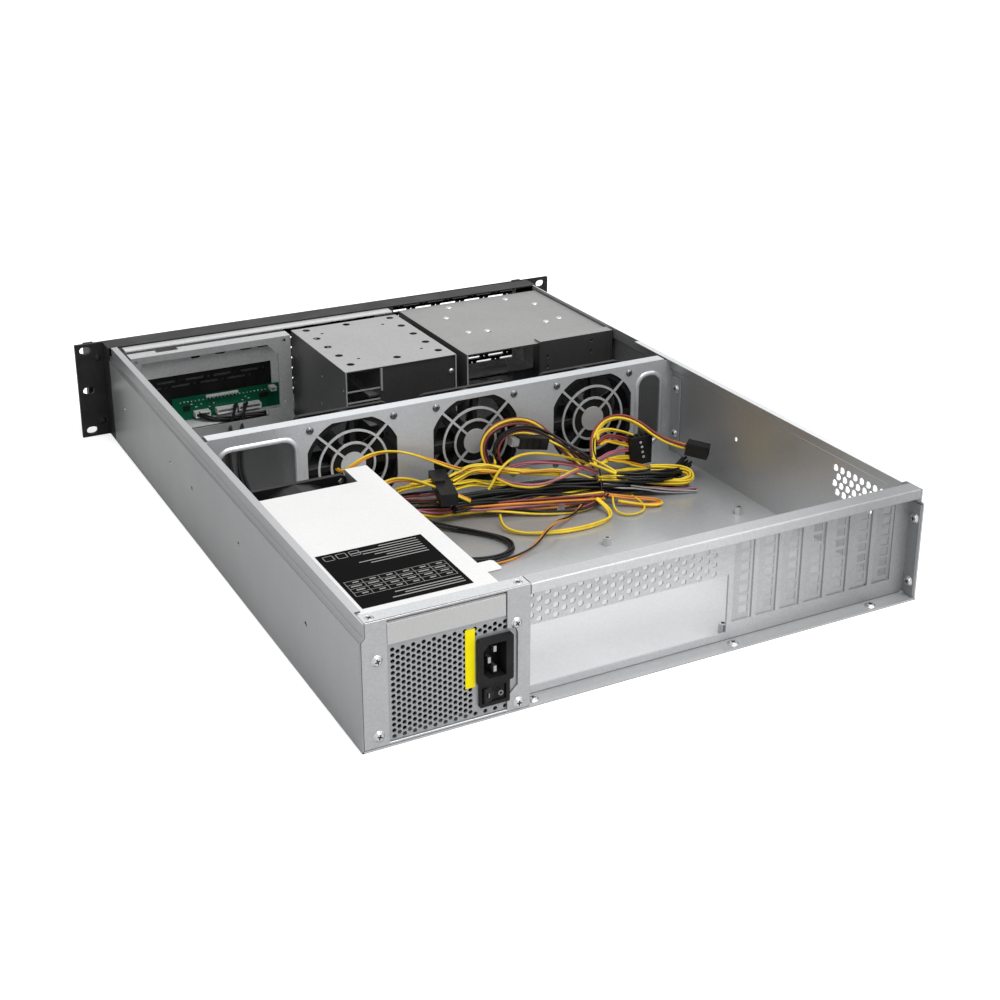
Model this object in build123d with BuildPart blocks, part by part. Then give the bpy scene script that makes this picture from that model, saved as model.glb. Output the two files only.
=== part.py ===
from build123d import *
import math
import os

os.makedirs("parts", exist_ok=True)

# An empty rackmount server case, two rack units high, standing open with its lid off.
# Millimetres. +X towards the power supply's side, +Y towards the rear, +Z up.
# The origin is on the floor, under the middle of the whole object.

# Case
sheet = 1.2
case_height = 88.1
ear_span = 482.6
ear_width = 24.8
case_depth = 593.0
panel_plate = 3.0
handle_reach = 32.0
inlet_proud = 2.0
touch = 0.3
joggle_drop = 12.1
joggle_in = 2.6
side_flange = 8.0
fold_radius = 1.8
rim_depth = 20.0
rail_hole_radius = 2.0
rail_hole_height = 45.5
rail_hole_offsets = [90.5, 223.6, 334.2, 391.6, 529.9]
side_vent_radius = 2.5
side_vent_pitch = 7.5
side_vent_row = 6.3

# Rear
rear_recess = 12.0
hood_drop = 8.1
rail_flange = 12.0
rear_foot = 6.0
io_width = 158.75
io_height = 44.45
io_bottom = 7.4
psu_frame_inset = 115.6
vent_radius = 2.3
vent_column_pitch = 6.1
vent_row_pitch = 7.2
vent_columns = 24
vent_rows = 3
slot_count = 7
slot_pitch = 20.32
slot_first_inset = 138.4
slot_bottom = 14.5
slot_drop = 14.1
slot_window_width = 16.4
cover_width = 18.4
cover_thickness = 0.8
cover_hole_width = 7.3
cover_hole_height = 5.6
cover_hole_pitch = 8.1
cover_hole_count = 7

# Power supply
psu_width = 97.6
psu_drop = 3.1
psu_depth = 226.5
psu_lip = 14.7
psu_vent_radius = 3.3
psu_vent_columns = 5
psu_vent_rows = 4
psu_vent_pitch_x = 10.2
psu_vent_pitch_z = 17.6
frame_window_inset = 18.0
frame_window_width = 80.7
frame_window_step = 7.3
inlet_width = 24.6
inlet_height = 32.0
inlet_inset = 90.4
inlet_centre_z = 42.0
inlet_cavity_width = 16.0
inlet_cavity_height = 24.0
inlet_cavity_depth = 14.0
switch_width = 21.2
switch_height = 16.5
switch_inset = 90.1
switch_centre_z = 17.75
rocker_radius = 8.2
rocker_tilt = 9.0
label_thickness = 0.25
strip_length = 41.0
strip_inset = 4.3
grommet_z = 30.0
grommet_neck = 6.9
grommet_bore = 5.2
grommet_flange = 2.5

# Fans
fan_size = 80.0
fan_depth = 25.0
fan_bore_radius = 38.0
fan_screw_offset = 35.75
fan_flange = 4.0
fan_corner = 4.0
fan_height = 45.5
fan_left_gap = 49.3
fan_middle_shift = 1.65
fan_right_gap = 46.0
hub_radius = 16.5
blade_tip_radius = 36.6
blade_count = 7
shaft_radius = 1.5
shaft_clearance = 0.05
stator_radius = 17.0
stator_thickness = 3.0
strut_width = 4.0

# Fan wall
fan_wall_setback = 320.0
wall_flange = 11.0
guard_cut_radius = 39.5
guard_cut_square = 77.0
guard_rings = [29.3, 19.6]
guard_wire = 2.4
guard_hub_radius = 10.0
bead_height = 1.5
bead_width = 4.0
opening_corner = 9.0
left_opening_insets = [79.5, 19.5]
right_opening_insets = [15.5, 36.5]
opening_bottom = 14.0
opening_drop = 12.6

# Cages and bay
disk_cage_width = 105.5
disk_cage_shift = -0.75
disk_cage_front = 553.0
disk_cage_rear = 421.0
disk_cage_drop = 2.1
divider_inset = 32.4
wide_cage_inset = 5.5
wide_cage_gap = 8.5
wide_cage_front = 565.0
wide_cage_rear = 417.0
wide_cage_drop = 3.1
bay_inset = 11.5
bay_gap = 5.5
bay_setback = 540.0
bay_drop = 2.1

# Front
front_vent_rows = 6
front_vent_pitch = 12.4
ear_slot_length = 10.0
ear_slot_width = 6.8
ear_slot_inset = 8.73
ear_slot_pitch = 38.1
handle_inset = 19.0
handle_screw_pitch = 60.3
handle_width = 9.0
handle_bar = 9.0
button_travel = 2.0
power_button_radius = 5.0
reset_button_radius = 2.0
button_clearance = 0.25
control_height = 15.5

# Standoffs for the main board
board_inset = 7.25
board_pitches = [0.0, 157.48, 281.94]
board_rows = [24.0, 178.94, 251.33]
standoff_height = 6.5
standoff_radius = 3.2
standoff_bore = 1.5

# Round things that are small are drawn with few sides
head_sides = 8
hole_sides = 8
fan_sides = 24
hub_sides = 16
guard_sides = 16
button_sides = 16
bush_sides = 12
corner_steps = 2

# Places that follow from the sizes above
body_width = ear_span - 2 * ear_width
half_body = body_width / 2
half_ear = ear_span / 2
overall_depth = case_depth + panel_plate + handle_reach + inlet_proud
y_rear = overall_depth / 2 - inlet_proud
y_panel_back = y_rear - case_depth
y_panel_front = y_panel_back - panel_plate
y_recess = y_rear - rear_recess
y_fan_wall = y_rear - fan_wall_setback
y_fan_seat = y_fan_wall - sheet
joggle_height = case_height - joggle_drop
hood_height = case_height - hood_drop
psu_top = case_height - psu_drop
psu_lip_bottom = psu_top - psu_lip
disk_cage_top = case_height - disk_cage_drop
wide_cage_top = case_height - wide_cage_drop
bay_top = case_height - bay_drop
slot_top = case_height - slot_drop
opening_top = case_height - opening_drop
slot_first_gap = slot_first_inset - half_body
psu_frame_edge = half_body - psu_frame_inset
frame_window_left = half_body - frame_window_inset
frame_window_right = frame_window_left - frame_window_width
inlet_centre_x = half_body - inlet_inset
switch_centre_x = half_body - switch_inset
left_opening = [half_body - inset for inset in left_opening_insets]
right_opening = [inset - half_body for inset in right_opening_insets]
fan_left_place = left_opening[0] - fan_left_gap
fan_right_place = right_opening[1] + fan_right_gap
fan_places = [fan_left_place, (fan_left_place + fan_right_place) / 2 + fan_middle_shift, fan_right_place]
disk_cage_left = disk_cage_shift + disk_cage_width / 2
disk_cage_right = disk_cage_left - disk_cage_width
divider_x = disk_cage_left - divider_inset
wide_cage_right = wide_cage_inset - half_body
wide_cage_left = disk_cage_right - wide_cage_gap
bay_left = half_body - bay_inset
bay_right = disk_cage_left + bay_gap
bay_middle = (bay_left + bay_right) / 2
ear_slot_x = half_ear - ear_slot_inset
handle_x = half_ear - handle_inset
io_left = psu_frame_edge - 0.65
io_right = io_left - io_width
inner_low = half_body - sheet
# Columns of standoffs, as many as the tray has room for
column_places = [io_left - board_inset - pitch for pitch in board_pitches]
board_columns = [x for x in column_places if x - standoff_radius > touch - inner_low]
inner_high = half_body - joggle_in - sheet
flange_tip = half_body - joggle_in - side_flange
floor_top = sheet


def across(y):
    """Plane across the case at y. Its extrusions run towards the front."""
    return Plane.XZ.offset(-y)


def lengthwise(x):
    """Plane along the case at x. Its extrusions run towards +X."""
    return Plane.YZ.offset(x)


def level(z):
    return Plane.XY.offset(z)


def keep(piece, name):
    piece.part.label = name
    export_step(piece.part, f"parts/{name}.step")


def fold(points, plane, amount, radius=fold_radius):
    """A folded sheet: points follow its outer side, and the sheet lies to their left."""
    with BuildSketch(plane) as section:
        with BuildLine() as outline:
            FilletPolyline(*points, radius=radius)
            offset(amount=sheet, side=Side.LEFT, kind=Kind.INTERSECTION)
        make_face()
    extrude(section.sketch, amount=amount)


def block(x, y, z, mode=Mode.ADD):
    """A box between pairs of limits along X, Y and Z."""
    with Locations(((x[0] + x[1]) / 2, (y[0] + y[1]) / 2, (z[0] + z[1]) / 2)):
        Box(abs(x[1] - x[0]), abs(y[1] - y[0]), abs(z[1] - z[0]), mode=mode)


def soft_rectangle(width, height, radius, mode=Mode.ADD):
    """A rectangle whose round corners are drawn in a few straight steps."""
    corners = []
    for corner in range(4):
        side_x = 1 if corner in (0, 3) else -1
        side_z = 1 if corner in (0, 1) else -1
        for step in range(corner_steps + 1):
            angle = math.pi / 2 * (corner + step / corner_steps)
            corners.append((
                side_x * (width / 2 - radius) + radius * math.cos(angle),
                side_z * (height / 2 - radius) + radius * math.sin(angle),
            ))
    with BuildLine() as outline:
        Polyline(*corners, close=True)
    make_face(outline.edges(), mode=mode)


def wall_outline(bottom, gap, top_half):
    """Outline of a cross wall inside the tray's joggled sides. Its top strip is 2 * top_half wide."""
    joggle_top = joggle_height + joggle_in
    low = inner_low - gap
    high = inner_high - gap
    under = case_height - sheet - gap
    right_side = [
        (low, bottom), (low, joggle_height - 2 * gap), (high, joggle_top - 2 * gap),
        (high, under), (top_half, under), (top_half, case_height),
    ]
    left_side = [(-x, z) for x, z in reversed(right_side)]
    with BuildLine() as outline:
        Polyline(*right_side, *left_side, close=True)
    make_face(outline.edges())


# Tray: floor and joggled side walls, folded from one sheet
tray_front = y_panel_back + rim_depth + touch
with BuildPart() as chassis_tray:
    wall_x = half_body
    upper_x = half_body - joggle_in
    joggle_top = joggle_height + joggle_in
    fold(
        [
            (-flange_tip, case_height), (-upper_x, case_height), (-upper_x, joggle_top),
            (-wall_x, joggle_height), (-wall_x, 0), (wall_x, 0), (wall_x, joggle_height),
            (upper_x, joggle_top), (upper_x, case_height), (flange_tip, case_height),
        ],
        across(y_rear),
        y_rear - tray_front,
        radius=1.5,
    )
    # The flanges stop short of the rear rail
    flange_end = (y_rear - rail_flange - 4, y_rear + 1)
    for hand in (-1, 1):
        block((hand * inner_high, hand * (flange_tip - 2)), flange_end,
              (case_height - 2 * sheet, case_height + 1), Mode.SUBTRACT)
    # Holes for slide rails in both walls
    with BuildSketch(lengthwise(-half_body - 1)) as rail_holes:
        with Locations(*[(y_rear - back, rail_hole_height) for back in rail_hole_offsets]):
            RegularPolygon(rail_hole_radius, hole_sides)
    extrude(rail_holes.sketch, amount=body_width + 2, mode=Mode.SUBTRACT)
    # Staggered vent in the wall beside the expansion slots
    vent_y = y_rear - 70.0
    vent_z = 58.5
    with BuildSketch(lengthwise(-half_body - 1)) as side_vent:
        with Locations((vent_y, vent_z)):
            with GridLocations(side_vent_pitch, 2 * side_vent_row, 8, 2):
                RegularPolygon(side_vent_radius, 6)
        with Locations((vent_y + side_vent_pitch / 2, vent_z - side_vent_row)):
            with GridLocations(side_vent_pitch, 2 * side_vent_row, 7, 2):
                RegularPolygon(side_vent_radius, 6)
    extrude(side_vent.sketch, amount=sheet + 2, mode=Mode.SUBTRACT)
keep(chassis_tray, "chassis_tray")

# Rear panel: foot, recessed plate, hood, rail and top flange, folded from one sheet
with BuildPart() as rear_panel:
    fold(
        [
            (y_recess - rear_foot, floor_top), (y_recess, floor_top), (y_recess, hood_height),
            (y_rear, hood_height), (y_rear, case_height), (y_rear - rail_flange, case_height),
        ],
        lengthwise(-inner_high + touch),
        inner_high - touch + psu_frame_edge - 0.6,
    )
    # Lower plate reaches the side wall, with a flange along it
    block((-inner_low, -inner_high + 2), (y_recess - sheet, y_recess), (3, joggle_height - 1))
    block((-inner_low, -inner_low + sheet), (y_recess - sheet, y_rear - 1), (3, joggle_height - 1))
    # Window for the input/output shield
    io_middle = ((io_left + io_right) / 2, io_bottom + io_height / 2)
    with BuildSketch(across(y_recess + 1)) as rear_cuts:
        with Locations(io_middle):
            Rectangle(io_width - 0.02, io_height)
        # Staggered vents above it
        vent_middle = (vent_columns - 1) * vent_column_pitch / 2
        for column in range(vent_columns):
            column_x = io_left - 6 - column * vent_column_pitch
            half_step = vent_row_pitch / 2 * (column % 2)
            for row in range(vent_rows):
                with Locations((column_x, hood_height - 7.4 - half_step - row * vent_row_pitch)):
                    RegularPolygon(vent_radius, 6, rotation=30)
        # Windows over the expansion slots
        for slot in range(slot_count):
            window_x = slot_first_gap - slot * slot_pitch - 0.9 + slot_window_width / 2
            with Locations((window_x, (slot_bottom + slot_top) / 2)):
                Rectangle(slot_window_width, slot_top - slot_bottom)
    extrude(rear_cuts.sketch, amount=sheet + 2, mode=Mode.SUBTRACT)
keep(rear_panel, "rear_panel")

# Expansion slot covers: punched strips inside the plate, with a tab over the hood
cover_rear = y_recess - sheet - 0.1
cover_top = hood_height + sheet + cover_thickness + 0.1
for slot in range(slot_count):
    cover_left = slot_first_gap - slot * slot_pitch + 0.9
    with BuildPart() as slot_cover:
        with BuildSketch(lengthwise(cover_left)) as cover_section:
            with BuildLine():
                Polyline(
                    (cover_rear, floor_top + sheet + 1.5), (cover_rear, cover_top - cover_thickness),
                    (y_rear - sheet - 1.5, cover_top - cover_thickness), (y_rear - sheet - 1.5, cover_top),
                    (cover_rear - cover_thickness, cover_top),
                    (cover_rear - cover_thickness, floor_top + sheet + 1.5), close=True,
                )
            make_face()
        extrude(cover_section.sketch, amount=cover_width)
        with BuildSketch(across(cover_rear + 1)) as cover_holes:
            with Locations((cover_left + 4.6, (slot_bottom + slot_top) / 2 + 1.5)):
                with GridLocations(1, cover_hole_pitch, 1, cover_hole_count):
                    Rectangle(cover_hole_width, cover_hole_height)
        extrude(cover_holes.sketch, amount=cover_thickness + 2, mode=Mode.SUBTRACT)
    keep(slot_cover, f"slot_cover_{slot + 1}")

# Power supply bracket at the rear, wrapped over the top
psu_left = inner_high - 0.5
psu_right = psu_left - psu_width
psu_rear = y_rear - sheet - touch
psu_front = y_rear - sheet - touch - psu_depth
psu_bottom = floor_top + touch
top_screws = [half_body - 9.5, half_body - 109.5]
with BuildPart() as psu_frame:
    with BuildSketch(across(y_rear)) as frame_face:
        wall_outline(floor_top, touch, inner_high - touch - 0.01)
        with Locations(((psu_frame_edge - half_body) / 2, case_height / 2)):
            Rectangle(half_body + psu_frame_edge, case_height + 2, mode=Mode.SUBTRACT)
        # Window over the supply's rear face, wider beside the inlet
        with BuildLine() as window:
            Polyline(
                (frame_window_left, 3.0), (frame_window_right, 3.0), (frame_window_right, 7.5),
                (frame_window_right - frame_window_step, 13.0),
                (frame_window_right - frame_window_step, 60.0),
                (frame_window_right, 60.0), (frame_window_right, psu_top - 0.6),
                (frame_window_left, psu_top - 0.6), close=True,
            )
        make_face(window.edges(), mode=Mode.SUBTRACT)
    extrude(frame_face.sketch, amount=sheet)
    block((psu_frame_edge, psu_frame_edge + sheet), (y_recess + touch, y_rear), (floor_top, case_height))
    block((psu_frame_edge, inner_high - touch), (y_rear - rail_flange, y_rear),
          (case_height - sheet, case_height))
    with BuildSketch(level(case_height + 1)) as top_screw_holes:
        with Locations(*[(x, y_rear - 6) for x in top_screws]):
            RegularPolygon(3.1, head_sides)
    extrude(top_screw_holes.sketch, amount=-(sheet + 2), mode=Mode.SUBTRACT)
keep(psu_frame, "psu_frame")

# Power supply: lower shell, stepped at the front to take its fan
fan_notch_right = psu_left - fan_size - touch
fan_notch_rear = psu_front + fan_depth + touch
case_left = psu_left - sheet - 0.1
case_right = psu_right + sheet + 0.1
psu_fan_x = psu_left - fan_size / 2
psu_fan_z = psu_bottom + 1.2 + fan_size / 2
shell_plan = [
    (case_right, psu_rear), (case_left, psu_rear), (case_left, fan_notch_rear),
    (fan_notch_right, fan_notch_rear), (fan_notch_right, psu_front), (case_right, psu_front),
]
with BuildPart() as psu_case:
    with BuildSketch(level(psu_bottom)) as shell_outside:
        with BuildLine():
            Polyline(*shell_plan, close=True)
        make_face()
    extrude(shell_outside.sketch, amount=psu_top - sheet - 0.1 - psu_bottom)
    with BuildSketch(level(psu_bottom + sheet)) as shell_inside:
        with BuildLine():
            Polyline(*shell_plan, close=True)
        make_face()
        offset(amount=-sheet, mode=Mode.REPLACE, kind=Kind.INTERSECTION)
    extrude(shell_inside.sketch, amount=psu_top, mode=Mode.SUBTRACT)
    # Ear of the rear plate that the bracket's screws hold
    block((psu_frame_edge + 5, case_right), (psu_rear - sheet, psu_rear), (psu_bottom, 68))
    with BuildSketch(across(psu_rear + 1)) as rear_plate_cuts:
        with Locations((psu_left - 41.2, 35.5)):
            with GridLocations(psu_vent_pitch_x, psu_vent_pitch_z, psu_vent_columns, psu_vent_rows):
                RegularPolygon(psu_vent_radius, 6, rotation=30)
            with GridLocations(psu_vent_pitch_x, psu_vent_pitch_z, psu_vent_columns - 1, psu_vent_rows - 1):
                RegularPolygon(psu_vent_radius, 6, rotation=30)
        with Locations((inlet_centre_x + 0.9, inlet_centre_z)):
            Rectangle(19.2, 28.2)
        with Locations((inlet_centre_x + 0.9, switch_centre_z)):
            Rectangle(19.2, 13.2)
    extrude(rear_plate_cuts.sketch, amount=sheet + 2, mode=Mode.SUBTRACT)
    # Round opening in front of the fan
    with BuildSketch(across(fan_notch_rear + 5)) as fan_hole:
        with Locations((psu_fan_x, psu_fan_z)):
            RegularPolygon(fan_bore_radius, fan_sides)
        with Locations((case_left, psu_fan_z)):
            Rectangle(2 * sheet, fan_size, mode=Mode.SUBTRACT)
    extrude(fan_hole.sketch, amount=6, mode=Mode.SUBTRACT)
    # Hole for the harness bush
    grommet_x = (case_right + fan_notch_right) / 2
    with BuildSketch(across(psu_front + 5)) as grommet_hole:
        with Locations((grommet_x, grommet_z)):
            RegularPolygon(grommet_neck + 0.1, bush_sides)
    extrude(grommet_hole.sketch, amount=6, mode=Mode.SUBTRACT)
keep(psu_case, "psu_case")

# Power supply: cover with side lips and a lip down over the rear plate
cover_plan = [
    (psu_right, psu_rear), (psu_left, psu_rear), (psu_left, fan_notch_rear),
    (fan_notch_right, fan_notch_rear), (fan_notch_right, psu_front), (psu_right, psu_front),
]
with BuildPart() as psu_cover:
    with BuildSketch(level(psu_top - sheet)) as cover_face:
        with BuildLine():
            Polyline(*cover_plan, close=True)
        make_face()
    extrude(cover_face.sketch, amount=sheet)
    for edge_x, into in ((psu_left, -sheet), (psu_right, sheet)):
        front_end = fan_notch_rear if edge_x == psu_left else psu_front
        block((edge_x, edge_x + into), (front_end, psu_rear), (psu_lip_bottom, psu_top))
    block((frame_window_right + 0.5, frame_window_left - 0.5), (psu_rear, y_rear - 0.2),
          (psu_lip_bottom, psu_top - 1.2))
    block((frame_window_right + 0.5, frame_window_left - 0.5), (psu_rear - sheet, y_rear - 0.2),
          (psu_top - sheet, psu_top - 0.9))
keep(psu_cover, "psu_cover")

with BuildPart() as psu_grommet:
    with BuildSketch(across(psu_front)) as bush_flange:
        with Locations((grommet_x, grommet_z)):
            RegularPolygon(grommet_neck + 1.5, bush_sides)
            RegularPolygon(grommet_bore, bush_sides, mode=Mode.SUBTRACT)
    extrude(bush_flange.sketch, amount=grommet_flange)
    with BuildSketch(across(psu_front)) as bush_neck:
        with Locations((grommet_x, grommet_z)):
            RegularPolygon(grommet_neck, bush_sides)
            RegularPolygon(grommet_bore, bush_sides, mode=Mode.SUBTRACT)
    extrude(bush_neck.sketch, amount=-grommet_flange)
keep(psu_grommet, "psu_grommet")

# Labels on the supply, left bare
with BuildPart() as rating_label:
    block((psu_left - 83.2, psu_left - 8.2), (y_rear - 102.0, y_rear - 23.0),
          (psu_top, psu_top + label_thickness))
keep(rating_label, "rating_label")
with BuildPart() as voltage_label:
    strip_z = (psu_lip_bottom - strip_inset - strip_length, psu_lip_bottom - strip_inset)
    block((psu_left - 72.9, psu_left - 66.2), (psu_rear, psu_rear + label_thickness), strip_z)
keep(voltage_label, "voltage_label")

# Mains inlet: flange on the rear plate, body behind it, socket with two chamfered corners
inlet_back = psu_rear - sheet - 16.0
with BuildPart() as power_inlet:
    with BuildSketch(across(y_rear + inlet_proud)) as inlet_flange:
        with Locations((inlet_centre_x, inlet_centre_z)):
            RectangleRounded(inlet_width, inlet_height, 1.5)
    extrude(inlet_flange.sketch, amount=y_rear + inlet_proud - psu_rear)
    body_x = inlet_centre_x + 0.9
    block((body_x - 9.5, body_x + 9.5), (inlet_back, psu_rear), (inlet_centre_z - 14, inlet_centre_z + 14))
    with BuildSketch(across(y_rear + inlet_proud + 1)) as socket:
        with Locations((body_x, inlet_centre_z)):
            Rectangle(inlet_cavity_width, inlet_cavity_height)
        chamfer(socket.vertices().group_by(Axis.X)[-1], 4.0)
    extrude(socket.sketch, amount=inlet_cavity_depth + 1, mode=Mode.SUBTRACT)
keep(power_inlet, "power_inlet")

with BuildPart() as inlet_pins:
    with BuildSketch(across(y_rear + inlet_proud - inlet_cavity_depth)) as pins:
        with Locations(
            (body_x - 1.0, inlet_centre_z - 7.0), (body_x - 1.0, inlet_centre_z + 7.0),
            (body_x + 3.0, inlet_centre_z),
        ):
            Rectangle(2.0, 4.0)
    extrude(pins.sketch, amount=-(inlet_cavity_depth - 2.0))
keep(inlet_pins, "inlet_pins")

# Mains switch: housing with a well, and a rocker that tips about an upright pivot
pivot_y = y_rear - 3.0
with BuildPart() as switch_housing:
    with BuildSketch(across(y_rear + 0.6)) as housing_flange:
        with Locations((switch_centre_x, switch_centre_z)):
            RectangleRounded(switch_width, switch_height - 0.4, 1.0)
    extrude(housing_flange.sketch, amount=y_rear + 0.6 - psu_rear)
    block((body_x - 9.5, body_x + 9.5), (inlet_back, psu_rear),
          (switch_centre_z - 6.5, switch_centre_z + 6.5))
    with BuildSketch(across(y_rear + 1.6)) as well:
        with Locations((body_x, switch_centre_z)):
            Rectangle(2 * rocker_radius + 0.8, 11.0)
    extrude(well.sketch, amount=14.0, mode=Mode.SUBTRACT)
keep(switch_housing, "switch_housing")

with BuildPart() as switch_rocker:
    level_plane = Plane(origin=(body_x, pivot_y, switch_centre_z - 5.2), z_dir=(0, 0, 1))
    tipped = level_plane.rotated((0, 0, rocker_tilt))
    with BuildSketch(tipped) as rocker_profile:
        Circle(rocker_radius)
        with BuildLine() as rocker_top:
            Polyline((-12, 4.3), (0, 2.4), (12, 4.3), (12, 12), (-12, 12), close=True)
        make_face(mode=Mode.SUBTRACT)
    extrude(rocker_profile.sketch, amount=10.4)
keep(switch_rocker, "switch_rocker")


# Fan wall: three stamped finger guards between two beaded cable openings
def guard_window():
    """What is stamped away in front of one fan: rings and diagonal bars are left standing."""
    RegularPolygon(guard_cut_radius, guard_sides)
    Rectangle(guard_cut_square, guard_cut_square, mode=Mode.INTERSECT)
    for ring in guard_rings:
        RegularPolygon(ring + guard_wire / 2, guard_sides, mode=Mode.SUBTRACT)
        RegularPolygon(ring - guard_wire / 2, guard_sides)
    RegularPolygon(guard_hub_radius, guard_sides, mode=Mode.SUBTRACT)
    for angle in (45, 135):
        Rectangle(2 * guard_cut_radius, guard_wire, rotation=angle, mode=Mode.SUBTRACT)


openings = []
for low_x, high_x in (left_opening, right_opening):
    openings.append(((low_x + high_x) / 2, (opening_bottom + opening_top) / 2, high_x - low_x))
opening_height = opening_top - opening_bottom
with BuildPart() as fan_wall:
    with BuildSketch(across(y_fan_wall)) as wall_face:
        wall_outline(floor_top, touch, flange_tip - touch)
    extrude(wall_face.sketch, amount=sheet)
    top_end = flange_tip - touch
    block((-top_end, top_end), (y_fan_wall - wall_flange, y_fan_wall), (case_height - sheet, case_height))
    block((-150, 150), (y_fan_wall - 8, y_fan_wall), (floor_top, floor_top + sheet))
    for hand in (-1, 1):
        block((hand * (inner_low - touch), hand * (inner_low - touch - sheet)),
              (y_fan_wall - sheet, y_fan_wall + 14), (6, joggle_height - 4))
    # Beads round the cable openings
    for middle_x, middle_z, width in openings:
        with BuildSketch(across(y_fan_wall + bead_height)) as bead:
            soft_rectangle(width + 2 * bead_width, opening_height + 2 * bead_width,
                           opening_corner + bead_width)
        extrude(bead.sketch.moved(Location((middle_x, 0, middle_z))), amount=bead_height)
        with BuildSketch(across(y_fan_wall + bead_height + 1)) as pass_through:
            soft_rectangle(width, opening_height, opening_corner)
        moved = pass_through.sketch.moved(Location((middle_x, 0, middle_z)))
        extrude(moved, amount=bead_height + sheet + 2, mode=Mode.SUBTRACT)
    for fan_x in fan_places:
        with BuildSketch(across(y_fan_wall + 1)) as guard:
            guard_window()
        moved = guard.sketch.moved(Location((fan_x, 0, fan_height)))
        extrude(moved, amount=sheet + 2, mode=Mode.SUBTRACT)
keep(fan_wall, "fan_wall")


def fan_frame(centre_x, centre_z, seat_y):
    """Fan housing whose strut side lies at seat_y, with the barrel open at its corners."""
    with BuildPart() as frame:
        with BuildSketch(across(seat_y)) as outside:
            soft_rectangle(fan_size, fan_size, fan_corner)
        extrude(outside.sketch.moved(Location((centre_x, 0, centre_z))), amount=fan_depth)
        # Pockets between the two flanges, outside the barrel
        with BuildSketch(across(seat_y - fan_flange)) as pockets:
            with Locations((centre_x, centre_z)):
                Rectangle(fan_size + 2, fan_size + 2)
                RegularPolygon(fan_bore_radius + 1.9, fan_sides, mode=Mode.SUBTRACT)
        extrude(pockets.sketch, amount=fan_depth - 2 * fan_flange, mode=Mode.SUBTRACT)
        # Bore, leaving a hub on four struts at the seat
        with BuildSketch(across(seat_y - stator_thickness)) as bore:
            with Locations((centre_x, centre_z)):
                RegularPolygon(fan_bore_radius, fan_sides)
        extrude(bore.sketch, amount=fan_depth, mode=Mode.SUBTRACT)
        with BuildSketch(across(seat_y + 1)) as ring:
            with Locations((centre_x, centre_z)):
                RegularPolygon(fan_bore_radius, fan_sides)
                RegularPolygon(stator_radius, hub_sides, mode=Mode.SUBTRACT)
                Rectangle(2 * fan_size, strut_width, mode=Mode.SUBTRACT)
                Rectangle(strut_width, 2 * fan_size, mode=Mode.SUBTRACT)
        extrude(ring.sketch, amount=stator_thickness + 1, mode=Mode.SUBTRACT)
        with BuildSketch(across(seat_y + 1)) as small_holes:
            with Locations((centre_x, centre_z)):
                Circle(shaft_radius + shaft_clearance)
                with GridLocations(2 * fan_screw_offset, 2 * fan_screw_offset, 2, 2):
                    RegularPolygon(2.3, 6)
        extrude(small_holes.sketch, amount=fan_depth + 2, mode=Mode.SUBTRACT)
    return frame


def fan_rotor(centre_x, centre_z, seat_y):
    """Impeller with cambered blades and a shaft end in the stator's bore."""
    hub_rear = seat_y - stator_thickness - 0.8
    hub_length = fan_depth - stator_thickness - 1.8
    with BuildPart() as rotor:
        with BuildSketch(across(hub_rear)) as hub:
            with Locations((centre_x, centre_z)):
                RegularPolygon(hub_radius, hub_sides)
        extrude(hub.sketch, amount=hub_length)
        with BuildSketch(across(seat_y - 0.5)) as shaft:
            with Locations((centre_x, centre_z)):
                Circle(shaft_radius)
        extrude(shaft.sketch, amount=stator_thickness + 2)
        blade_middle = hub_rear - hub_length / 2
        for blade in range(blade_count):
            angle = 2 * math.pi * blade / blade_count
            outward = Vector(math.cos(angle), 0, math.sin(angle))
            along = Vector(-math.sin(angle), 0, math.cos(angle))
            root = Vector(centre_x, blade_middle, centre_z) + outward * (hub_radius - 1.5)
            with BuildSketch(Plane(origin=root, x_dir=along, z_dir=outward)) as blade_section:
                with BuildLine():
                    Polyline(
                        (-9.0, -6.8), (-1.0, -1.8), (6.5, 6.6), (7.8, 7.4), (0.2, -1.4), (-8.2, -7.4),
                        close=True,
                    )
                make_face()
            extrude(blade_section.sketch, amount=blade_tip_radius - hub_radius + 1.2)
    return rotor


for number, fan_x in enumerate(fan_places):
    keep(fan_frame(fan_x, fan_height, y_fan_seat), f"fan_frame_{number + 1}")
    keep(fan_rotor(fan_x, fan_height, y_fan_seat), f"fan_rotor_{number + 1}")
keep(fan_frame(psu_fan_x, psu_fan_z, fan_notch_rear - touch), "psu_fan_frame")
keep(fan_rotor(psu_fan_x, psu_fan_z, fan_notch_rear - touch), "psu_fan_rotor")

with BuildPart() as fan_screws:
    for fan_x in fan_places:
        with BuildSketch(across(y_fan_wall)) as heads:
            with Locations((fan_x, fan_height)):
                with GridLocations(2 * fan_screw_offset, 2 * fan_screw_offset, 2, 2):
                    RegularPolygon(3.0, head_sides)
        extrude(heads.sketch, amount=-1.6)
keep(fan_screws, "fan_screws")


# Drive cages: folded sheet over the tray's floor, with feet turned out
def cage_shell(left, right, front_setback, rear_setback, top):
    front_y = y_rear - front_setback
    rear_y = y_rear - rear_setback
    block((right, left), (front_y, rear_y), (floor_top, top))
    block((right + sheet, left - sheet), (front_y - 1, rear_y + 1),
          (floor_top - 1, top - sheet), Mode.SUBTRACT)


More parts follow.
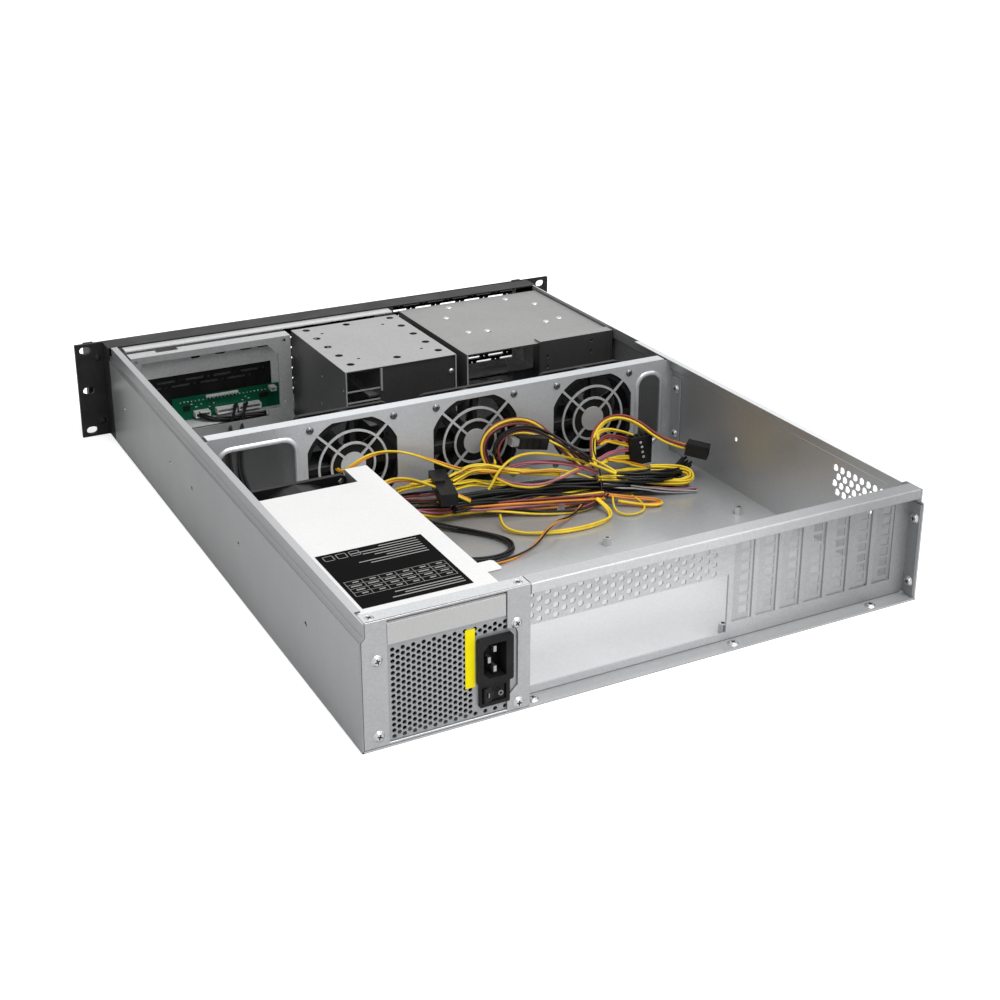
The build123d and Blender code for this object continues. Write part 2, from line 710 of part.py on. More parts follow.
with BuildSketch() as slot_shape:
    Rectangle(8.0, 3.4)
    chamfer(slot_shape.vertices(), 1.1)
cage_slot = slot_shape.sketch
with BuildPart() as disk_cage:
    cage_shell(disk_cage_left, disk_cage_right, disk_cage_front, disk_cage_rear, disk_cage_top)
    foot = (floor_top, floor_top + sheet)
    cage_y = (y_rear - disk_cage_front, y_rear - disk_cage_rear)
    block((disk_cage_right - 6, disk_cage_right), cage_y, foot)
    block((disk_cage_left, disk_cage_left + 5), cage_y, foot)
    cage_middle = ((disk_cage_left + disk_cage_right) / 2, sum(cage_y) / 2)
    with BuildSketch(level(disk_cage_top + 1)) as cage_slots:
        with Locations(cage_middle):
            with GridLocations(83.0, 26.7, 2, 5):
                add(cage_slot)
            with GridLocations(1, 106.8, 1, 2):
                add(cage_slot)
            with GridLocations(60.5, 80.5, 2, 2):
                RegularPolygon(1.8, 6)
    extrude(cage_slots.sketch, amount=-(sheet + 2), mode=Mode.SUBTRACT)
    with BuildSketch(lengthwise(disk_cage_left + 1)) as cage_side:
        with Locations((sum(cage_y) / 2, 60.0)):
            with GridLocations(60.0, 22.0, 2, 3):
                RegularPolygon(1.8, 6)
    extrude(cage_side.sketch, amount=-(sheet + 2), mode=Mode.SUBTRACT)
keep(disk_cage, "disk_cage")

with BuildPart() as disk_cage_divider:
    inside_top = disk_cage_top - sheet - touch
    rear_face = y_rear - disk_cage_rear - 1.0
    block((divider_x - sheet, divider_x), (rear_face - 120, rear_face), (floor_top + touch, inside_top))
    block((disk_cage_right + sheet + touch, divider_x), (rear_face - sheet, rear_face),
          (floor_top + touch, inside_top))
    block((divider_x, divider_x + 9), (rear_face - 118, rear_face - 4), (30.0, 30.0 + sheet))
    block((divider_x, divider_x + 9), (rear_face - 118, rear_face - 4), (58.0, 58.0 + sheet))
keep(disk_cage_divider, "disk_cage_divider")

with BuildPart() as wide_cage:
    cage_shell(wide_cage_left, wide_cage_right, wide_cage_front, wide_cage_rear, wide_cage_top)
    wide_y = (y_rear - wide_cage_front, y_rear - wide_cage_rear)
    block((wide_cage_left, wide_cage_left + 2), wide_y, foot)
    with BuildSketch(level(wide_cage_top + 1)) as wide_holes:
        with Locations(
            (wide_cage_left - 46.3, y_rear - 550.5), (wide_cage_left - 30.0, y_rear - 522.3),
            (wide_cage_left - 30.1, y_rear - 474.6), (wide_cage_left - 48.0, y_rear - 468.0),
            (wide_cage_right + 40.4, y_rear - 551.4), (wide_cage_right + 22.3, y_rear - 523.3),
            (wide_cage_right + 39.6, y_rear - 469.5), (wide_cage_right + 22.9, y_rear - 475.1),
        ):
            RegularPolygon(2.0, 6)
    extrude(wide_holes.sketch, amount=-(sheet + 2), mode=Mode.SUBTRACT)
keep(wide_cage, "wide_cage")

plate_hole_places = [(22.4, 5.0), (22.4, 15.4), (68.0, 13.6), (68.0, 23.5)]
with BuildPart() as wide_cage_plate:
    plate_face = y_rear - wide_cage_rear + touch
    plate_side = (wide_cage_right, wide_cage_right + 76.0)
    block(plate_side, (plate_face, plate_face + sheet), (wide_cage_top - 28.0, wide_cage_top + touch + sheet))
    block(plate_side, (plate_face - 10, plate_face),
          (wide_cage_top + touch, wide_cage_top + touch + sheet))
    with BuildSketch(across(plate_face + sheet + 1)) as plate_holes:
        with Locations(*[(wide_cage_right + x, wide_cage_top - drop) for x, drop in plate_hole_places]):
            RegularPolygon(1.7, hole_sides)
    extrude(plate_holes.sketch, amount=sheet + 2, mode=Mode.SUBTRACT)
keep(wide_cage_plate, "wide_cage_plate")

# Frame round the bay behind the controls
with BuildPart() as bay_frame:
    bay_face = y_rear - bay_setback
    with BuildSketch(across(bay_face)) as bay_plate:
        with BuildLine() as bay_outline:
            Polyline((bay_right, floor_top), (bay_left, floor_top), (bay_left, bay_top), (bay_right, bay_top),
                     close=True)
        make_face(bay_outline.edges())
        with BuildLine() as bay_window:
            Polyline(
                (bay_right + 12.5, 17.0), (bay_right + 24.5, 17.0), (bay_right + 24.5, 11.0),
                (bay_left - 9, 11.0), (bay_left - 9, bay_top - 6), (bay_right + 22.5, bay_top - 6),
                (bay_right + 12.5, bay_top - 16), close=True,
            )
        make_face(bay_window.edges(), mode=Mode.SUBTRACT)
        bay_holes = [(bay_right + 6.1, bay_top - 4), (bay_left - 4.2, bay_top - 4), (bay_right + 7.5, 22.4)]
        with Locations(*bay_holes):
            RegularPolygon(1.6, hole_sides, mode=Mode.SUBTRACT)
    extrude(bay_plate.sketch, amount=sheet)
    block((bay_right, bay_left), (bay_face - 14, bay_face), (bay_top - sheet, bay_top))
    block((bay_right, bay_left), (bay_face - 10, bay_face), foot)
    with BuildSketch(level(bay_top + 1)) as bay_notch:
        with Locations((bay_left - 35.0, bay_face - 12)):
            Rectangle(20.0, 9.0)
    extrude(bay_notch.sketch, amount=-(sheet + 2), mode=Mode.SUBTRACT)
keep(bay_frame, "bay_frame")

# Front wall of the tray, close behind the panel
with BuildPart() as front_wall:
    front_flange = 34.0
    plate_rear = y_panel_back + touch + sheet
    wall_low = floor_top
    wall_high = case_height - sheet - touch
    plate_half = inner_low - touch
    opening_high = case_height - 8.1
    block((-plate_half, plate_half), (plate_rear - sheet, plate_rear), (wall_low, joggle_height - 2))
    block((-flange_tip + 2, flange_tip - 2), (plate_rear - sheet, plate_rear), (joggle_height - 2, wall_high))
    block((-flange_tip + 2, flange_tip - 2), (plate_rear - sheet, y_panel_back + front_flange - 3),
          (wall_high - sheet, wall_high))
    block((-plate_half, plate_half), (plate_rear - sheet, y_panel_back + 25), (wall_low, wall_low + sheet))
    for hand in (-1, 1):
        block((hand * plate_half, hand * (plate_half - sheet)), (plate_rear - sheet, y_panel_back + 40),
              (wall_low, joggle_height - 2))
    with BuildSketch(across(plate_rear + 1)) as wall_openings:
        with BuildLine() as wide_opening:
            Polyline((wide_cage_right + 11, 8.0), (wide_cage_left - 6, 8.0),
                     (wide_cage_left - 6, opening_high), (wide_cage_right + 11, opening_high), close=True)
        make_face(wide_opening.edges())
        with BuildLine() as disk_opening:
            Polyline((disk_cage_right + 5.5, 8.0), (disk_cage_left - 6, 8.0),
                     (disk_cage_left - 6, opening_high), (disk_cage_right + 5.5, opening_high), close=True)
        make_face(disk_opening.edges())
        with BuildLine() as control_opening:
            Polyline((bay_right + 2.5, 6.0), (bay_left - 5, 6.0), (bay_left - 5, 42.7),
                     (bay_right + 2.5, 42.7), close=True)
        make_face(control_opening.edges())
    extrude(wall_openings.sketch, amount=sheet + 2, mode=Mode.SUBTRACT)
keep(front_wall, "front_wall")

# Front panel with the rack ears, its rim and its vent slots
power_x = bay_middle + 18.75
reset_x = bay_middle + 4.75
led_places = [bay_middle - 7.25, bay_middle - 15.25]
usb_places = [bay_middle - 32.25, bay_middle - 52.25]
usb_width = 13.4
usb_height = 5.8
with BuildPart() as front_panel:
    with BuildSketch(across(y_panel_back)) as panel_face:
        with Locations((0, case_height / 2)):
            Rectangle(ear_span, case_height)
            for hand in (-1, 1):
                with Locations((hand * ear_slot_x, 0)):
                    with GridLocations(1, ear_slot_pitch, 1, 3):
                        SlotOverall(ear_slot_length, ear_slot_width, mode=Mode.SUBTRACT)
        # Vent slots in front of the two cages, alternate rows half a pitch over
        wide_middle = (wide_cage_left + wide_cage_right) / 2
        disk_middle = (disk_cage_left + disk_cage_right) / 2
        for row in range(front_vent_rows):
            row_z = case_height / 2 + (row - (front_vent_rows - 1) / 2) * front_vent_pitch
            shift = 13.45 * (row % 2)
            with Locations((wide_middle + shift - 4.2, row_z)):
                with GridLocations(26.9, 1, 5, 1):
                    Rectangle(18.0, 2.5, mode=Mode.SUBTRACT)
            with Locations((disk_middle + shift - 6.95, row_z)):
                with GridLocations(26.9, 1, 3, 1):
                    Rectangle(18.0, 2.5, mode=Mode.SUBTRACT)
        with Locations((bay_middle, 38.0), (bay_middle, 33.0)):
            with GridLocations(26.9, 1, 5, 1):
                Rectangle(18.0, 2.5, mode=Mode.SUBTRACT)
        with Locations((power_x, control_height)):
            RegularPolygon(power_button_radius + button_clearance, button_sides, mode=Mode.SUBTRACT)
        with Locations((reset_x, control_height)):
            RegularPolygon(reset_button_radius + button_clearance, button_sides, mode=Mode.SUBTRACT)
        with Locations(*[(x, control_height) for x in led_places]):
            RegularPolygon(1.6, head_sides, mode=Mode.SUBTRACT)
        with Locations(*[(x, control_height) for x in usb_places]):
            Rectangle(usb_width + 0.4, usb_height + 0.4, mode=Mode.SUBTRACT)
    extrude(panel_face.sketch, amount=panel_plate)
    # Rim turned back along all four sides of the case
    with BuildSketch(across(y_panel_back + rim_depth)) as rim:
        with Locations((0, case_height / 2)):
            Rectangle(body_width, case_height)
            Rectangle(body_width - 2 * sheet, case_height - 2 * sheet, mode=Mode.SUBTRACT)
    extrude(rim.sketch, amount=rim_depth)
keep(front_panel, "front_panel")

# Front handles
handle_low = (case_height - handle_screw_pitch) / 2 - handle_bar / 2
handle_high = case_height - handle_low
for name, hand in (("handle_left", 1), ("handle_right", -1)):
    with BuildPart() as handle:
        with BuildSketch(lengthwise(hand * handle_x - handle_width / 2)) as handle_side:
            y_out = y_panel_front - handle_reach
            with Locations(((y_panel_front + y_out) / 2, case_height / 2)):
                Rectangle(handle_reach, handle_high - handle_low)
            fillet(handle_side.vertices().group_by(Axis.Y)[0], 13.0)
            with Locations(((y_panel_front + y_out + handle_bar) / 2, case_height / 2)):
                Rectangle(handle_reach - handle_bar, handle_high - handle_low - 2 * handle_bar,
                          mode=Mode.SUBTRACT)
        extrude(handle_side.sketch, amount=handle_width)
    keep(handle, name)

# Controls board, its headers, and what reaches through the panel
board_face = y_panel_back + 7.4
with BuildPart() as front_board:
    block((bay_middle - 76.25, bay_middle + 27.75), (board_face - 1.6, board_face),
          (floor_top + sheet + 0.1, 25.0))
    with BuildSketch(across(board_face + 1)) as led_holes:
        with Locations(*[(x, control_height) for x in led_places]):
            RegularPolygon(1.0, 6)
    extrude(led_holes.sketch, amount=4, mode=Mode.SUBTRACT)
keep(front_board, "front_board")

with BuildPart() as board_headers:
    for shift, width, low_z, high_z in (
        (-5.75, 14.5, 6.0, 11.0), (-55.25, 22.0, 6.0, 11.0), (-31.25, 19.0, 6.0, 11.0),
        (-71.25, 6.0, 20.0, 24.0),
    ):
        low_x = bay_middle + shift
        high_x = low_x + width
        block((low_x, high_x), (board_face, board_face + 8), (low_z, high_z))
        block((low_x + 1, high_x - 1), (board_face + 1.5, board_face + 9),
              (low_z + 1, high_z - 1), Mode.SUBTRACT)
keep(board_headers, "board_headers")

with BuildPart() as usb_ports:
    for x in usb_places:
        port_z = (control_height - usb_height / 2, control_height + usb_height / 2)
        block((x - usb_width / 2, x + usb_width / 2), (y_panel_front, board_face - 1.6), port_z)
        block((x - usb_width / 2 + 0.5, x + usb_width / 2 - 0.5), (y_panel_front - 1, board_face - 3),
              (port_z[0] + 0.5, port_z[1] - 0.5), Mode.SUBTRACT)
        block((x - usb_width / 2 + 1.2, x + usb_width / 2 - 1.2), (y_panel_front + 1, board_face - 3),
              (port_z[1] - 2.4, port_z[1] - 0.9))
keep(usb_ports, "usb_ports")

with BuildPart() as led_lenses:
    with BuildSketch(across(board_face - 1.6)) as lenses:
        with Locations(*[(x, control_height) for x in led_places]):
            RegularPolygon(1.45, head_sides)
    extrude(lenses.sketch, amount=board_face - 1.6 - y_panel_front + 0.6)
keep(led_lenses, "led_lenses")


def push_button(x, radius, collar, stem_end):
    """Cap through the panel, with a collar behind it that stops it at rest."""
    with BuildPart() as button:
        with BuildSketch(across(y_panel_back)) as cap:
            with Locations((x, control_height)):
                RegularPolygon(radius, button_sides)
        extrude(cap.sketch, amount=panel_plate + 2.4)
        with BuildSketch(across(y_panel_back + touch + 1.2)) as back:
            with Locations((x, control_height)):
                RegularPolygon(collar, head_sides)
        extrude(back.sketch, amount=1.2)
        with BuildSketch(across(y_panel_back + touch + stem_end)) as stem:
            with Locations((x, control_height)):
                RegularPolygon(radius * 0.6, 6)
        extrude(stem.sketch, amount=stem_end + touch)
    return button


stem_length = board_face - 1.6 - y_panel_back - touch - button_travel - 0.3
keep(push_button(power_x, power_button_radius, power_button_radius + 1.2, stem_length), "power_button")
keep(push_button(reset_x, reset_button_radius, reset_button_radius + 1.0, stem_length), "reset_button")

# Board standoffs
with BuildPart() as standoffs:
    with BuildSketch(level(floor_top)) as standoff_plan:
        with Locations(*[(x, y_rear - back) for x in board_columns for back in board_rows]):
            RegularPolygon(standoff_radius, 6, major_radius=False)
            RegularPolygon(standoff_bore, hole_sides, mode=Mode.SUBTRACT)
        # The four at the corners have true round bores
        with Locations(*[(x, y_rear - back) for x in board_columns[::2] for back in board_rows[::2]]):
            Circle(standoff_bore, mode=Mode.SUBTRACT)
    extrude(standoff_plan.sketch, amount=standoff_height)
keep(standoffs, "standoffs")


# Screws that show: heads on the sheet that they hold
def head(plane, places, radius, height):
    with BuildSketch(plane) as heads:
        with Locations(*places):
            RegularPolygon(radius, head_sides)
    extrude(heads.sketch, amount=height)


with BuildPart() as case_screws:
    supply_screws = [(6.8, 61.5), (6.8, 9.5), (101.2, 63.6), (102.7, 6.5)]
    head(across(y_rear), [(psu_left - inset, z) for inset, z in supply_screws], 2.9, -1.8)
    head(level(case_height), [(x, y_rear - 6) for x in top_screws], 3.0, -sheet)
    floor_screws = [psu_frame_edge - 5.3, io_right - 2.1, 36.5 - half_body]
    head(level(floor_top), [(x, y_rear - 6) for x in floor_screws], 3.0, 1.8)
    head(lengthwise(-inner_low + sheet), [(y_rear - 6, 13.0), (y_rear - 6, 63.0)], 3.0, 1.8)
    for hand in (-1, 1):
        head(lengthwise(hand * (inner_low - touch - sheet)),
             [(y_fan_wall + 8, 20.0), (y_fan_wall + 8, 62.0)], 3.0, -hand * 1.8)
        handle_screw_z = [case_height / 2 - handle_screw_pitch / 2, case_height / 2 + handle_screw_pitch / 2]
        head(across(y_panel_back), [(hand * handle_x, z) for z in handle_screw_z], 2.8, -1.6)
    head(across(y_rear - disk_cage_rear - 1.0), [(-10.0, 70.0), (-40.0, 70.0)], 2.8, -1.8)
keep(case_screws, "case_screws")


# Cable harness of the power supply. Each route is a list of points chosen by hand.
cord_sides = 6
hank_sides = 10


def oval(width, height, mode=Mode.ADD):
    """An ellipse drawn with few sides, so that the soft solids stay light."""
    corners = []
    for k in range(hank_sides):
        angle = 2 * math.pi * k / hank_sides
        corners.append((width / 2 * math.cos(angle), height / 2 * math.sin(angle)))
    with BuildLine() as outline:
        Polyline(*corners, close=True)
    make_face(outline.edges(), mode=mode)


def cord(name, points, diameter):
    """A round cord on straight runs and tangent arcs as large as the runs allow."""
    route = [Vector(*point) for point in points]
    runs = [after - before for before, after in zip(route, route[1:])]
    radii = []
    for before, after in zip(runs, runs[1:]):
        turn = math.radians(before.get_angle(after))
        radii.append(0.45 * min(before.length, after.length) / math.tan(turn / 2))
    with BuildPart() as tube:
        with BuildLine() as path:
            FilletPolyline(*points, radius=radii)
        with BuildSketch(Plane(origin=route[0], z_dir=runs[0])) as section:
            RegularPolygon(diameter / 2, cord_sides)
        sweep(section.sketch, path=path.wires()[0])
    length = path.wires()[0].length
    expected = length * section.sketch.area
    print(name, "length", round(length, 1), "volume ratio", round(tube.part.volume / expected, 4),
          "radii in diameters", [round(radius / diameter, 1) for radius in radii])
    keep(tube, name)
    return runs[-1]


mouth_depth = 1.5


def plug(name, end, direction, width, height, length):
    """A connector body that starts on the end face of its cord."""
    with BuildPart() as body:
        with BuildSketch(Plane(origin=end, x_dir=(direction.Y, -direction.X, 0), z_dir=direction)) as face:
            Rectangle(width, height)
        extrude(face.sketch, amount=length)
        with BuildSketch(Plane(origin=Vector(*end) + direction.normalized() * length,
                               x_dir=(direction.Y, -direction.X, 0), z_dir=direction)) as mouth:
            Rectangle(width - 2.4, height - 2.4)
        extrude(mouth.sketch, amount=-mouth_depth, mode=Mode.SUBTRACT)
    keep(body, name)


trunk_diameter = 12.0
trunk_route = [
    (grommet_x, psu_front - grommet_flange, grommet_z), (grommet_x, 60.0, grommet_z), (112.0, 34.0, 21.0),
    (84.0, 22.0, 14.5), (52.0, 26.0, 14.0), (24.0, 38.0, 14.0),
]
cord("harness_trunk", trunk_route, trunk_diameter)

# Tied hank of folded cables: its outer shape, from the trunk's end to the far folds
hank_sections = [
    (24.0, 38.0, 14.0, 24.0, 16.0), (-10.0, 44.0, 14.0, 46.0, 24.0), (-55.0, 46.0, 16.0, 62.0, 28.0),
    (-100.0, 48.0, 15.0, 56.0, 26.0), (-118.0, 50.0, 12.6, 40.0, 18.0), (-150.0, 52.0, 12.5, 52.0, 21.0),
    (-183.0, 54.0, 10.0, 34.0, 16.0),
]
with BuildPart() as harness_hank:
    for x, y, z, width, height in hank_sections:
        with BuildSketch(Plane(origin=(x, y, z), x_dir=(0, 1, 0), z_dir=(1, 0, 0))):
            oval(width, height)
    loft(ruled=True)
    # The cables part round a standoff
    with BuildSketch(level(0)) as standoff_room:
        with Locations((board_columns[1], y_rear - board_rows[2])):
            RegularPolygon(standoff_radius + 1.2, 6, major_radius=False)
    extrude(standoff_room.sketch, amount=floor_top + standoff_height + 0.5, mode=Mode.SUBTRACT)
keep(harness_hank, "harness_hank")

tie_x, tie_y, tie_z, tie_width, tie_height = hank_sections[4]
with BuildPart() as cable_tie:
    with BuildSketch(Plane(origin=(tie_x - 2.0, tie_y, tie_z), x_dir=(0, 1, 0), z_dir=(1, 0, 0))) as strap:
        oval(tie_width + 4.8, tie_height + 3.8)
        oval(tie_width + 2.4, tie_height + 1.8, Mode.SUBTRACT)
    extrude(strap.sketch, amount=4.0)
keep(cable_tie, "cable_tie")

cord("loop_left", [
    (-27.0, 24.0, 20.0), (-18.0, 15.0, 37.0), (-20.0, 8.5, 52.0), (-33.0, 7.0, 61.5), (-52.0, 7.0, 64.0),
    (-69.0, 8.5, 58.0), (-80.0, 14.0, 46.0), (-90.0, 25.0, 35.0), (-99.0, 37.0, 24.0),
], 6.0)

loop_right_route = [
    (-111.0, 36.0, 20.0), (-115.0, 24.0, 33.0), (-124.0, 14.0, 44.0), (-139.0, 8.0, 50.0),
    (-156.0, 8.0, 49.0), (-167.0, 17.0, 43.0), (-173.0, 31.0, 37.0), (-179.0, 44.0, 33.0),
    (-190.0, 55.0, 31.0),
]
last_run = cord("loop_right", loop_right_route, 5.0)
plug("drive_connector", loop_right_route[-1], last_run, 11.0, 11.0, 19.0)

cord("fan_lead", [
    (101.8, y_fan_seat + 0.1, 44.3), (101.8, 1.0, 44.5), (96.0, 7.5, 51.0), (82.0, 7.0, 57.0),
    (65.0, 4.0, 57.0),
    (47.0, 3.0, 52.5), (27.0, 7.0, 43.5), (7.0, 18.0, 35.0), (-13.0, 27.5, 31.5), (-32.0, 31.0, 31.0),
    (-50.0, 35.0, 29.5),
], 3.0)

black_loop_route = [
    (63.0, 27.0, 12.0), (49.0, 40.0, 7.0), (34.0, 54.0, 4.2), (19.0, 70.0, 4.1), (8.0, 85.0, 4.1),
    (2.5, 98.0, 4.1), (5.0, 110.5, 4.1), (16.0, 118.5, 4.1), (33.0, 118.5, 4.1), (53.0, 110.0, 4.1),
    (72.0, 97.0, 5.5),
]
last_run = cord("black_loop", black_loop_route, 5.0)
plug("floor_connector", black_loop_route[-1], last_run, 12.0, 7.0, 15.0)

thin_route = [
    (-79.0, 71.0, 7.0), (-66.0, 79.0, 3.8), (-54.0, 87.0, 6.0), (-42.0, 95.5, 10.6), (-28.0, 104.5, 10.6),
    (-13.0, 114.0, 4.6), (4.0, 121.5, 3.2), (22.0, 126.0, 3.1), (42.0, 125.5, 3.1), (62.0, 120.0, 3.3),
    (80.0, 112.0, 4.0),
]
last_run = cord("thin_pair", thin_route, 3.0)
plug("pair_connector", thin_route[-1], last_run, 6.0, 4.4, 12.0)

cord("low_loop", [
    (-91.0, 73.0, 11.0), (-95.0, 82.0, 7.0), (-94.0, 92.0, 4.2), (-86.0, 99.5, 3.7), (-72.0, 103.0, 3.6),
    (-54.0, 103.0, 3.6), (-36.0, 99.5, 3.6), (-20.0, 93.0, 3.6), (-8.0, 84.0, 3.8), (-4.0, 73.0, 5.5),
    (-8.0, 62.5, 9.0),
], 4.0)

with BuildPart() as main_connector:
    turned = Plane(origin=(26.0, 29.0, 27.2), x_dir=(1, 0, 0), z_dir=(0, 0, 1)).rotated((0, 0, -14))
    with BuildSketch(turned.offset(-5.0)) as connector_plan:
        Rectangle(14.0, 51.0)
    extrude(connector_plan.sketch, amount=10.0)
    with BuildSketch(turned.offset(5.0)) as latch_plan:
        with Locations((3.0, 0)):
            Rectangle(8.0, 6.0)
    extrude(latch_plan.sketch, amount=2.5)
keep(main_connector, "main_connector")

with BuildPart() as four_pin_connector:
    block((-174.0, -153.0), (17.0, 26.2), (9.5, 34.5))
    with BuildSketch(level(34.5)) as pin_sockets:
        with Locations((-163.5, 21.6)):
            with GridLocations(4.6, 1, 4, 1):
                Rectangle(2.6, 4.0)
    extrude(pin_sockets.sketch, amount=-mouth_depth, mode=Mode.SUBTRACT)
keep(four_pin_connector, "four_pin_connector")
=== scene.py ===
import math

import bpy
import bmesh
from mathutils import Matrix, Vector, noise


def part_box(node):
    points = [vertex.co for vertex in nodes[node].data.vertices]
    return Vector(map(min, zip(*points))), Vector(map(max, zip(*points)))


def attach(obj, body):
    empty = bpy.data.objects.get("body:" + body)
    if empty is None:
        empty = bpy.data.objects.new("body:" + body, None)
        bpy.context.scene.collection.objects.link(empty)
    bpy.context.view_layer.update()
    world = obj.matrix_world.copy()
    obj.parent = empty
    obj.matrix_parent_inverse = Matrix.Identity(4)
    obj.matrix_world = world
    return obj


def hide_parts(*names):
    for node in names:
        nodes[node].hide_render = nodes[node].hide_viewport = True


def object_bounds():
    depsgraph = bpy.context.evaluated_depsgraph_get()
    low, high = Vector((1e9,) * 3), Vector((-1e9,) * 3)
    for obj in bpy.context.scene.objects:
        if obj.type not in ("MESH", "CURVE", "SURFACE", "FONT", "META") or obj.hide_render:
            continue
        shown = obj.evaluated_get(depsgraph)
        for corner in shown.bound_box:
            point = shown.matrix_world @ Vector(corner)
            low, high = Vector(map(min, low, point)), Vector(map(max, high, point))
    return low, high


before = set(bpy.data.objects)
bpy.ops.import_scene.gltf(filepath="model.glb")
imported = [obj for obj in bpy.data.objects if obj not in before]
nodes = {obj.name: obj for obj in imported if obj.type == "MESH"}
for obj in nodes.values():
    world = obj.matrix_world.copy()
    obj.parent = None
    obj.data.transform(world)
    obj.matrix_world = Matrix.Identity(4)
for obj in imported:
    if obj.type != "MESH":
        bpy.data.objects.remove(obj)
cad_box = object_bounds()
MM = 0.001


def add_object(name, data):
    made = bpy.data.objects.new(name, data)
    bpy.context.collection.objects.link(made)
    return made


# Camera, at the photograph's viewing angle

def make_camera():
    azimuth, elevation = math.radians(152.47), math.radians(20.53)
    data = bpy.data.cameras.new("camera")
    data.sensor_width = 36.0
    data.lens = 56.87
    data.shift_y = -0.1
    camera = add_object("camera", data)
    camera.location = (0.52225, 1.07984, 0.53697)
    back = Vector((
        math.sin(azimuth) * math.cos(elevation),
        -math.cos(azimuth) * math.cos(elevation),
        math.sin(elevation),
    ))
    camera.rotation_euler = (-back).to_track_quat("-Z", "Y").to_euler()
    bpy.context.scene.camera = camera


make_camera()


# Materials

def feed(tree, socket, value):
    """Sets a node's input to a value, or links it to another node's output."""
    if isinstance(value, bpy.types.NodeSocket):
        tree.links.new(value, socket)
    else:
        socket.default_value = value


def add_node(tree, kind, inputs=(), **settings):
    made = tree.nodes.new(kind)
    for key, value in settings.items():
        setattr(made, key, value)
    for key, value in dict(inputs).items():
        feed(tree, made.inputs[key], value)
    return made


class Shader:
    """A material under construction: a Principled shader with object coordinates in metres."""

    def __init__(self, name, colour, metallic, roughness):
        self.material = bpy.data.materials.new(name)
        self.material.use_nodes = True
        self.material.diffuse_color = (*colour, 1.0)
        self.tree = self.material.node_tree
        self.surface = self.tree.nodes["Principled BSDF"]
        self.set("Base Color", (*colour, 1.0))
        self.set("Metallic", metallic)
        self.set("Roughness", roughness)
        self.coordinates = self.node("ShaderNodeTexCoord").outputs["Object"]

    def node(self, kind, inputs=(), **settings):
        return add_node(self.tree, kind, inputs, **settings)

    def set(self, socket, value):
        feed(self.tree, self.surface.inputs[socket], value)

    def noise(self, size_mm, detail=3.0):
        """Noise whose features are about size_mm across."""
        inputs = {"Scale": 1000.0 / size_mm, "Detail": detail, "Vector": self.coordinates}
        return self.node("ShaderNodeTexNoise", inputs).outputs["Fac"]

    def cells(self, size_mm):
        """Flat cells about size_mm across, each with its own level."""
        made = self.node("ShaderNodeTexVoronoi", {"Scale": 1000.0 / size_mm, "Vector": self.coordinates})
        return self.node("ShaderNodeSeparateColor", {"Color": made.outputs["Color"]}).outputs["Red"]

    def levels(self, source, low, high, start=0.3, end=0.7):
        """The source's range from start to end, spread from low to high."""
        inputs = {"From Min": start, "From Max": end, "To Min": low, "To Max": high, "Value": source}
        return self.node("ShaderNodeMapRange", inputs).outputs["Result"]

    def blend(self, source, dark, light, start=0.3, end=0.7):
        """The surface's colour, between dark and light by the level of source."""
        inputs = {"A": (*dark, 1.0), "B": (*light, 1.0), "Factor": self.levels(source, 0.0, 1.0, start, end)}
        colour = self.node("ShaderNodeMix", inputs, data_type="RGBA").outputs["Result"]
        self.set("Base Color", colour)
        return colour

    def multiply(self, source, factor):
        inputs = {"Factor": 1.0, "A": source, "B": factor}
        return self.node("ShaderNodeMix", inputs, data_type="RGBA", blend_type="MULTIPLY").outputs["Result"]

    def facing(self, rest, **levels):
        """Painted light and shade: a level for the way the surface faces: up, rear, left, right, or else the rest."""
        normal = self.node("ShaderNodeNewGeometry").outputs["Normal"]
        split = self.node("ShaderNodeSeparateXYZ", {"Vector": normal})
        found = rest
        for way, level in levels.items():
            axis, sign = {"up": ("Z", 1), "rear": ("Y", 1), "left": ("X", 1), "right": ("X", -1)}[way]
            share = self.levels(split.outputs[axis], 0.0, 1.0, 0.3 * sign, 0.8 * sign)
            found = self.node("ShaderNodeMix", {"A": found, "B": level, "Factor": share}).outputs["Result"]
        return found

    def fade(self, axis, start_mm, end_mm, low, high):
        """Painted light and shade: a level that changes slowly along an axis of the case."""
        split = self.node("ShaderNodeSeparateXYZ", {"Vector": self.coordinates})
        return self.levels(split.outputs[axis], low, high, start_mm * MM, end_mm * MM)

    def rough(self, source, low, high):
        self.set("Roughness", self.levels(source, low, high))

    def bump(self, source, height_mm, strength):
        inputs = {"Strength": strength, "Distance": height_mm * MM, "Height": source}
        self.set("Normal", self.node("ShaderNodeBump", inputs).outputs["Normal"])


def grey(level, warmth=0.0):
    return (level + warmth, level, level - warmth)


def sheet_metal(name, level, metallic, low, high, grain_mm=1.6, blue=0.006, contrast=0.06, faces=None, painted_light_fades=()):
    """Zinc-coated sheet: fine grain, slow changes of gloss, a faint blue tone, and painted light and shade as levels
    by facing and by place.
    """
    made = Shader(name, grey(level, -blue), metallic, (low + high) / 2)
    grain = made.cells(grain_mm)
    colour = made.blend(grain, grey(level * (1 - contrast), -blue), grey(level * (1 + contrast), -blue), 0.0, 1.0)
    colour = made.multiply(colour, made.levels(made.noise(95.0, 2.0), 0.93, 1.0))
    # Painted light and shade: lit tops and shaded sides by facing, and slow falls of light along the case
    if faces:
        colour = made.multiply(colour, made.facing(**faces))
    for fade in painted_light_fades:
        colour = made.multiply(colour, made.fade(*fade))
    made.set("Base Color", colour)
    made.rough(made.noise(60.0), low, high)
    made.bump(made.noise(0.8, 2.0), 0.02, 0.35)
    return made.material


